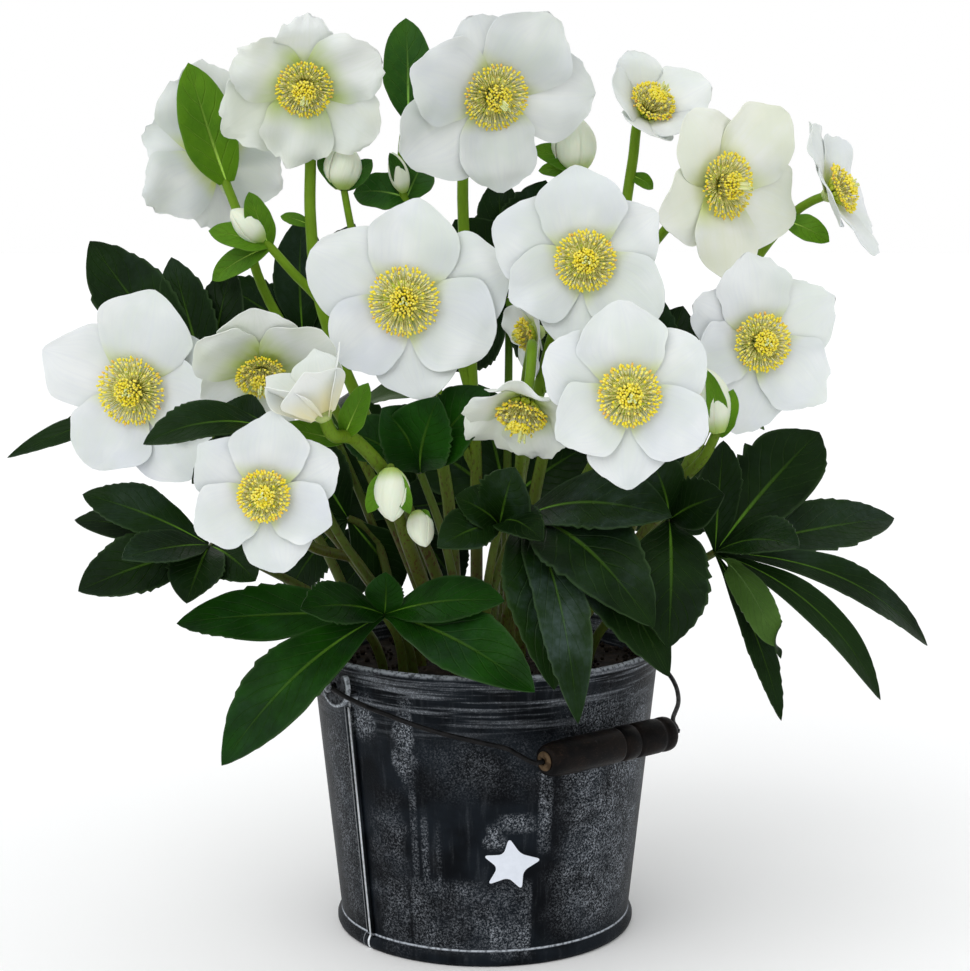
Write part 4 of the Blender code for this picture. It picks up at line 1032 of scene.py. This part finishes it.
def pailMaterial():
    mat, tree, shader = newMaterial("rubbedBlackPaint", 0.5, Specular_IOR_Level=0.04)
    place = surface(tree)
    across, up = unroll(tree, place)
    flat = stretched(tree, place, (1000, 1000, 1000))
    warp = noiseAt(tree, flat, 0.08, 3.0)
    bent = plus(tree, across, times(tree, minus(tree, warp, 0.5), 18.0))
    mask = None
    for left, right, low, high, softX, softZ, strength in washPatches:
        side = across if softX <= 1.0 else bent
        limits = {"Left": float(left), "Right": float(right), "Low": float(low), "High": float(high)}
        found = useGroup(tree, washPatch, {"Across": side, "Up": up, "SoftX": softX, "SoftZ": softZ,
                                           **limits})["Mask"]
        found = times(tree, found, strength)
        mask = found if mask is None else mathNode(tree, "MAXIMUM", mask, found)
    grain = ramp(tree, noiseAt(tree, flat, 1.1, 6.0, 0.85), 0.48, 0.61)  # speckle left by the dry brush
    cloud = ramp(tree, noiseAt(tree, flat, 0.09, 5.0, 0.6), 0.32, 0.7, 0.25, 0.95)
    wash = times(tree, times(tree, mask, grain), cloud)
    upright = noiseAt(tree, stretched(tree, flat, (0.35, 0.35, 0.018)), 1.0, 4.0, 0.6)
    upright = ramp(tree, upright, 0.5, 0.78)
    lying = noiseAt(tree, stretched(tree, flat, (0.022, 0.022, 0.6)), 1.0, 4.0, 0.6)
    lying = ramp(tree, lying, 0.46, 0.7)
    nearRim = ramp(tree, up, 96.0, 122.0)
    streaks = plus(tree, times(tree, upright, 0.06), times(tree, times(tree, lying, nearRim), 0.6))
    streaks = times(tree, streaks, ramp(tree, grain, 0, 1, 0.35, 1.0))
    wash = mathNode(tree, "MAXIMUM", wash, streaks)
    thin = ramp(tree, noiseAt(tree, flat, 0.6, 3.0), 0.3, 0.6)
    seam = (math.radians(pail["seamAt"] + 90) - math.tau) * pail["unrollRadius"]
    bright = None
    for off, wide, strength in ((-0.6, 0.85, 1.0), (-4.6, 0.3, 0.28)):
        near = mathNode(tree, "ABSOLUTE", minus(tree, across, seam + off))
        line = times(tree, ramp(tree, near, wide, wide * 0.5), strength)
        line = times(tree, line, ramp(tree, up, 116.0, 108.0))
        line = times(tree, line, ramp(tree, thin, 0, 1, 0.75, 1.0))
        bright = line if bright is None else mathNode(tree, "MAXIMUM", bright, line)
    foot = mathNode(tree, "ABSOLUTE", minus(tree, up, 6.9))
    foot = times(tree, ramp(tree, foot, 0.6, 0.2), ramp(tree, thin, 0, 1, 0.35, 1.0))
    wash = mathNode(tree, "MAXIMUM", wash, times(tree, foot, 0.85))
    rim = times(tree, ramp(tree, up, 129.6, 131.4), ramp(tree, thin, 0, 1, 0.1, 0.6))
    wash = mathNode(tree, "MAXIMUM", wash, rim)
    tone = ramp(tree, noiseAt(tree, flat, 0.05, 3.0), 0.35, 0.65)
    colour = blendColour(tree, tone, pail["black"], pail["blackLight"])
    colour = blendColour(tree, wash, colour, pail["wash"])
    colour = blendColour(tree, bright, colour, (0.78, 0.82, 0.86))
    height = plus(tree, times(tree, wash, 0.4), times(tree, grain, 0.25))
    paintOn(tree, shader, colour, ramp(tree, wash, 0, 0.8, 0.42, 0.75), height, 0.25, 0.0005)
    return mat


paintBlack = pailMaterial()


def buildPail():
    wall, top = pail["wall"], pail["height"]
    # the floor and wall inside, the rolled rim, the wall outside and the base ring,
    # each as the height whose radius counts, how far out from it, and the point's own height
    rows = [(2, -wall - 1, 2), (2, -wall, 3), (top - 4, -wall, top - 4),
            (top, -1.5, top - 1.2), (top, -0.9, top - 0.3), (top, -0.1, top), (top, 0.8, top - 0.4),
            (top, 1.35, top - 1.2), (top, 1.4, top - 2.2), (top, 0.9, top - 3.1), (top - 4, 0, top - 3.8),
            (top - 6, 0, top - 6), (100, 0, 100), (50, 0, 50), (8, 0, 8), (7, 0, 6.6),
            (6, 0.9, 6), (3, 1.8, 5.2), (3, 2.3, 3.9), (3, 2.3, 2.2), (3, 1.7, 0.7), (0, 1, 0)]
    profile = [(0, 2)] + [(wallRadius(at) + off, z) for at, off, z in rows] + [(0, 0)]
    bm = startMesh()
    spinProfile(bm, profile, pail["steps"])
    keep("bucket", bm, [paintBlack], nodes=["pail"])
    # the folded seam down the side
    a = math.radians(pail["seamAt"])
    out = Vector((math.cos(a), math.sin(a), 0))
    side = Vector((-out.y, out.x, 0))
    bm = startMesh()
    bmesh.ops.create_cube(bm, size=1)
    for v in bm.verts:
        z = 5.6 if v.co.z < 0 else 111.0
        depth = 0.85 if v.co.x > 0 else -0.7
        v.co = out * (wallRadius(z) + depth) + side * (v.co.y * pail["seamWidth"]) + Vector((0, 0, z))
    roundOff(bm, bm.edges[:], 0.5, 3)
    keep("bucketSeam", bm, [paintBlack], nodes=["pail"])


def starMaterial():
    mat, tree, shader = newMaterial("whiteStarPaint", 0.55)
    worn = blotches(tree, surface(tree), 500.0, 0.15)
    colour = blendColour(tree, times(tree, worn, 0.12), pail["star"], (0.45, 0.49, 0.56))
    paintOn(tree, shader, colour, None, worn, 0.1, 0.0002)
    return mat


def buildStar():
    # a thin coat of paint laid on the wall, with rounded points
    bm = startMesh()
    tips = sorted(pail["starTips"])
    ring = []
    # each point and the notch after it
    for (a, reach), (b, other) in zip(tips, tips[1:] + [(tips[0][0] + 360, tips[0][1])]):
        ring += [(a, reach), ((a + b) / 2, (reach + other) / 2 * pail["starNotch"])]
    made = bmesh.ops.create_circle(bm, cap_ends=True, segments=10, radius=1)
    for (a, reach), v in zip(ring, sorted(made["verts"], key=lambda v: math.atan2(v.co.y, v.co.x))):
        v.co = Vector((math.cos(math.radians(a)), math.sin(math.radians(a)), 0)) * reach
    roundOff(bm, bm.verts[:], pail["starRound"], 5, "VERTICES")
    for k in range(-7, 8):
        bmesh.ops.bisect_plane(bm, geom=bm.verts[:] + bm.edges[:] + bm.faces[:], plane_co=(k * 1.8, 0, 0),
                               plane_no=(1, 0, 0))
    angle, z = pail["starAt"]
    for v in bm.verts:
        high = z + v.co.y
        a = angle + v.co.x / wallRadius(high)
        reach = wallRadius(high) + pail["starProud"]
        v.co = (math.sin(a) * reach, -math.cos(a) * reach, high)
    bmesh.ops.recalc_face_normals(bm, faces=bm.faces)
    piece = keep("paintedStar", bm, [starMaterial()], smooth=False)
    thicken(piece, pail["starCoat"])


buildPail()
buildStar()
print("bucket done")


# Soil

soil = {"top": 120.0, "gap": 1.8, "rings": 16, "steps": 96, "lumps": 420, "lumpSize": (0.5, 1.6)}


def soilMaterial():
    mat, tree, shader = newMaterial("pottingSoil", 0.95, Specular_IOR_Level=0.15)
    place = surface(tree)
    lump = noiseAt(tree, place, 160.0, 5.0, 0.7)
    colour = blendColour(tree, ramp(tree, lump, 0.3, 0.7), (0.003, 0.002, 0.0015), (0.02, 0.013, 0.008))
    pale = ramp(tree, noiseAt(tree, place, 420.0, 2.0), 0.68, 0.74)
    colour = blendColour(tree, times(tree, pale, 0.5), colour, (0.16, 0.12, 0.08))
    paintOn(tree, shader, colour, None, lump, 0.9, 0.002)
    return mat


def buildSoil():
    dice = random.Random(5)
    bm = startMesh()
    gap, top, rings = soil["gap"], soil["top"], soil["rings"]
    edge = wallRadius(top - 3) - gap
    profile = [(0, top + 0.6)] + [(edge * k / rings, top + 0.4 - 0.08 * k) for k in range(1, rings)]
    profile += [(edge, top - 2.5), (wallRadius(60) - gap, 60), (wallRadius(3) - gap, 2.5), (0, 2.5)]
    spinProfile(bm, profile, soil["steps"])
    for v in bm.verts:
        if v.co.z > top - 2:
            v.co.z += noise.noise(v.co * 0.09) * 1.2 + noise.noise(v.co * 0.35) * 0.6
    for k in range(soil["lumps"]):
        a, r = dice.uniform(0, math.tau), edge * 0.97 * math.sqrt(dice.random())
        size = dice.uniform(*soil["lumpSize"])
        placeBead(bm, (r * math.cos(a), r * math.sin(a), top + 0.2 + size * 0.3),
                  [dice.uniform(-1, 1) for j in range(3)], size, size * dice.uniform(0.5, 0.9))
    keep("pottingSoil", bm, [soilMaterial()], nodes=["soil"])


buildSoil()
print("soil done")


# The bail: wire, turned grip, washers and the ears it hooks into

bail = {"angle": 40.0, "rest": -15.0, "height": 122.0, "wire": 1.05, "reach": 89.6, "from": -40.0,
        "to": 32.0, "radius": 7.6, "bore": 1.4, "gap": 0.3, "washer": 1.4}
ear = {"bore": 1.5, "radius": 9.5, "middle": 84.0, "top": 5.5, "feet": 5.6, "footWide": 2.6, "footTall": 3.0,
       "footRise": -4.6, "footOut": 83.6}
turnAngle, restAngle = math.radians(bail["angle"]), math.radians(bail["rest"])
along = Vector((math.cos(turnAngle), math.sin(turnAngle), 0))
outward = Vector((math.sin(turnAngle) * math.cos(restAngle), -math.cos(turnAngle) * math.cos(restAngle),
                  math.sin(restAngle)))
level = Vector((math.sin(turnAngle), -math.cos(turnAngle), 0))
pivot = Vector((0, 0, bail["height"]))


def bailPoint(s, r):
    return pivot + along * s + outward * r


def metalMaterial(name, main, worn, rough, metal, scale):
    mat, tree, shader = newMaterial(name, rough, Metallic=metal, Specular_IOR_Level=0.12)
    place = surface(tree)
    rub = blotches(tree, place, scale, 0.12)
    colour = blendColour(tree, times(tree, rub, 0.7), main, worn)
    paintOn(tree, shader, colour, ramp(tree, rub, 0, 1, rough, rough + 0.2), rub, 0.15, 0.0003)
    return mat


def gripMaterial():
    mat, tree, shader = newMaterial("wornBlackGrip", 0.4, Specular_IOR_Level=0.05)
    place = surface(tree)
    rub = blotches(tree, place, 130.0, 0.14)
    fine = ramp(tree, noiseAt(tree, stretched(tree, place, (1, 1, 2.5), (0, 0, turnAngle)), 700.0, 3.0),
                0.55, 0.7)
    scuff = times(tree, rub, ramp(tree, fine, 0, 1, 0.25, 0.9))
    colour = blendColour(tree, scuff, (0.003, 0.0028, 0.003), (0.022, 0.014, 0.010))
    bright = ramp(tree, noiseAt(tree, place, 240.0, 5.0, 0.7), 0.66, 0.78)
    colour = blendColour(tree, times(tree, bright, 0.5), colour, (0.2, 0.19, 0.19))
    paintOn(tree, shader, colour, ramp(tree, scuff, 0, 1, 0.36, 0.6), fine, 0.2, 0.0004)
    return mat


def earMaterial():
    # dark paint, rubbed pale along the round edge of the tab
    mat, tree, shader = newMaterial("earWash", 0.5, Specular_IOR_Level=0.06)
    place = surface(tree)
    aside = addNode(tree, "ShaderNodeVectorMath", {0: place, 1: level},
                    operation="DOT_PRODUCT").outputs["Value"]
    z = axesOf(tree, place)["Z"]
    rise = minus(tree, z, bail["height"] * mm)
    far = mathNode(tree, "SQRT", plus(tree, times(tree, aside, aside), times(tree, rise, rise)))
    grain = ramp(tree, noiseAt(tree, place, 600.0, 4.0, 0.7), 0.4, 0.6)
    edge = times(tree, ramp(tree, far, 0.0078, 0.009), ramp(tree, grain, 0, 1, 0.35, 0.95))
    rub = mathNode(tree, "MAXIMUM", edge, times(tree, grain, 0.12))
    colour = blendColour(tree, rub, (0.004, 0.005, 0.007), (0.46, 0.50, 0.55))
    paintOn(tree, shader, colour, None, grain, 0.2, 0.0003)
    return mat


earWash = earMaterial()
wireBlack = metalMaterial("blackenedWire", (0.002, 0.002, 0.0025), (0.012, 0.011, 0.011), 0.4, 0.0, 300.0)
bronze = metalMaterial("dullBronze", (0.035, 0.020, 0.009), (0.12, 0.08, 0.045), 0.5, 0.15, 350.0)
rivetWhite = metalMaterial("rubbedRivet", (0.03, 0.033, 0.04), (0.55, 0.58, 0.62), 0.55, 0.1, 260.0)


def layOnBail(bm):
    turn = Vector((0, 0, 1)).rotation_difference(along)
    for v in bm.verts:
        v.co = turn @ v.co + bailPoint(0, bail["reach"])


def buildBail():
    reach = bail["reach"]
    left = [(-81.6, 0), (-85.6, 0), (-87.3, 1.4), (-87.0, 6), (-86.0, 12), (-83.0, 22), (-78.6, 32),
            (-75, 40), (-68, 52), (-58, 64), (-49, 74), (-47.5, 80), (-46, reach - 1.5), (-43.5, reach),
            (-38, reach)]
    right = [(32, reach), (35.5, reach), (39, reach - 2), (44, 80), (60, 67), (73, 50), (82, 28),
             (86.4, 10), (87.3, 1.4), (85.6, 0), (81.6, 0)]
    mesh = rodsMesh("bailWire", [([bailPoint(s, r) for s, r in left + right], bail["wire"], bail["wire"])],
                    4, 8)
    keepMesh("bailWire", mesh, [wireBlack], "bail", ["bail_wire"])
    bm = startMesh()
    for sign in (-1, 1):
        placeBead(bm, pivot + along * (sign * 88.4), along, 2.5, 1.1, 3)
    keep("bailEnds", bm, [rivetWhite], "bail", ["bail_wire"])

    r, a, b, bore = bail["radius"], bail["from"], bail["to"], bail["bore"]
    profile = [(bore, a + 0.2), (bore, b - 0.2), (r - 2.6, b), (r - 1.2, b - 0.2), (r - 0.3, b - 1.2),
               (r, b - 2.4), (r + 0.05, b - 4), (r - 0.1, b - 5.6), (r - 0.6, b - 6.6), (r - 0.1, b - 7.8),
               (r, b - 9), (r, b - 20.4), (r - 0.3, b - 21.2), (r - 1.1, b - 21.9), (r - 0.3, b - 22.8),
               (r, b - 23.6), (r + 0.05, b - 26.4), (r, b - 29.4), (r - 0.3, b - 30.2), (r - 1.1, b - 30.9),
               (r - 0.3, b - 31.8), (r - 0.05, b - 33), (r, a + 14), (r - 0.2, a + 6), (r - 0.7, a + 2),
               (r - 1.4, a + 0.6), (r - 2.6, a), (bore, a + 0.2)]
    bm = startMesh()
    spinProfile(bm, profile, 56)
    layOnBail(bm)
    keep("bailGrip", bm, [gripMaterial()], "bail", ["bail_grip"])
    washers = [("washerLeft", "ferrule_left", a, -1), ("washerRight", "ferrule_right", b, 1)]
    for name, node, place, sign in washers:
        near, far = place + sign * bail["gap"], place + sign * bail["washer"]
        outer = [(4.2, near), (4.15, mix(near, far, 0.3)), (3.6, mix(near, far, 0.75)), (2.4, far)]
        profile = [(bore, near)] + outer + [(bore, mix(near, far, 0.8)), (bore, near)]
        bm = startMesh()
        spinProfile(bm, profile, 32)
        layOnBail(bm)
        keep(name, bm, [bronze], "bail", [node])


def buildEar(name, node, sign):
    # a round tab with its bore, cut straight above, and two feet that reach the wall
    out = along * sign
    bm = startMesh()
    hole, wide = ear["bore"], ear["radius"]
    spinProfile(bm, [(hole, -1), (wide, -1), (wide, 1), (hole, 1), (hole, -1)], 48)
    for v in bm.verts:
        x, y, z = v.co
        v.co = pivot + out * (ear["middle"] + z) + level * x + Vector((0, 0, min(y, ear["top"])))
    bmesh.ops.remove_doubles(bm, verts=bm.verts, dist=0.02)
    bmesh.ops.dissolve_limit(bm, angle_limit=0.01, verts=bm.verts, edges=bm.edges)
    bmesh.ops.recalc_face_normals(bm, faces=bm.faces)
    rims = [e for e in bm.edges if e.calc_face_angle(0) > 1.0]
    roundOff(bm, rims, 0.4, 2)
    for sideways in (-ear["feet"], ear["feet"]):
        made = bmesh.ops.create_cube(bm, size=1)
        for v in made["verts"]:
            x = sideways + v.co.x * ear["footWide"]
            z = ear["footRise"] + v.co.y * ear["footTall"]
            near = math.sqrt((wallRadius(bail["height"] + z) - 0.2) ** 2 - x * x)
            v.co = pivot + out * (ear["footOut"] if v.co.z > 0 else near) + level * x + Vector((0, 0, z))
        bmesh.ops.recalc_face_normals(bm, faces=list({f for v in made["verts"] for f in v.link_faces}))
    keep(name, bm, [earWash], nodes=[node], smooth=False)


buildBail()
buildEar("earLeft", "ear_left", -1)
buildEar("earRight", "ear_right", 1)
print("bail done")


# Floor, light and camera

studio = {"floor": (0.97, 0.97, 0.97), "low": (1.0, 1.0, 1.0), "high": (0.84, 0.85, 0.86), "sun": 1.0,
          "sunFrom": (-1.1, -1.7, 2.0), "softness": 50.0, "floorRadius": 9000, "floorDrop": -0.05}

# The photograph's view: focal length and width in its pixels, place in metres, tilt down in degrees
view = {"focalLength": 2164, "photoWidth": 970, "sensor": 36, "place": (0, -0.967, 0.339), "tilt": 8.09}


def buildFloor():
    bm = bmesh.new()
    bmesh.ops.create_circle(bm, cap_ends=True, segments=96, radius=studio["floorRadius"])
    bmesh.ops.translate(bm, vec=(0, 0, studio["floorDrop"]), verts=bm.verts)
    bmesh.ops.scale(bm, vec=(mm, mm, mm), verts=bm.verts)
    mesh = bpy.data.meshes.new("floor")
    bm.to_mesh(mesh)
    bm.free()
    floor = bpy.data.objects.new("floor", mesh)
    bpy.context.scene.collection.objects.link(floor)
    mat, tree, shader = newMaterial("paleFloor", 0.8)
    shader.inputs["Base Color"].default_value = (*studio["floor"], 1)
    mesh.materials.append(mat)


def addSun():
    light = bpy.data.lights.new("softKey", "SUN")
    light.angle = math.radians(studio["softness"])
    light.energy = studio["sun"]
    lamp = bpy.data.objects.new("softKey", light)
    lamp.rotation_euler = Vector(studio["sunFrom"]).to_track_quat("Z", "Y").to_euler()
    bpy.context.scene.collection.objects.link(lamp)


def buildWorld():
    # palest at the horizon, so that the floor runs into it
    world = bpy.data.worlds.new("softStudio")
    bpy.context.scene.world = world
    world.use_nodes = True
    tree = world.node_tree
    place = addNode(tree, "ShaderNodeTexCoord").outputs["Generated"]
    z = axesOf(tree, place)["Z"]
    colour = blendColour(tree, ramp(tree, z, 0.15, 0.9), studio["low"], studio["high"])
    tree.links.new(colour, tree.nodes["Background"].inputs["Color"])


def addCamera():
    cam = bpy.data.cameras.new("camera")
    cam.sensor_fit = "HORIZONTAL"
    cam.sensor_width = view["sensor"]
    cam.lens = view["focalLength"] / view["photoWidth"] * view["sensor"]
    cam.clip_start = 0.01
    rig = bpy.data.objects.new("camera", cam)
    rig.location = view["place"]
    rig.rotation_euler = (math.radians(90 - view["tilt"]), 0, 0)
    bpy.context.scene.collection.objects.link(rig)
    bpy.context.scene.camera = rig


buildFloor()
buildWorld()
addSun()
addCamera()
bpy.context.scene.view_settings.view_transform = "Standard"
print("studio done")
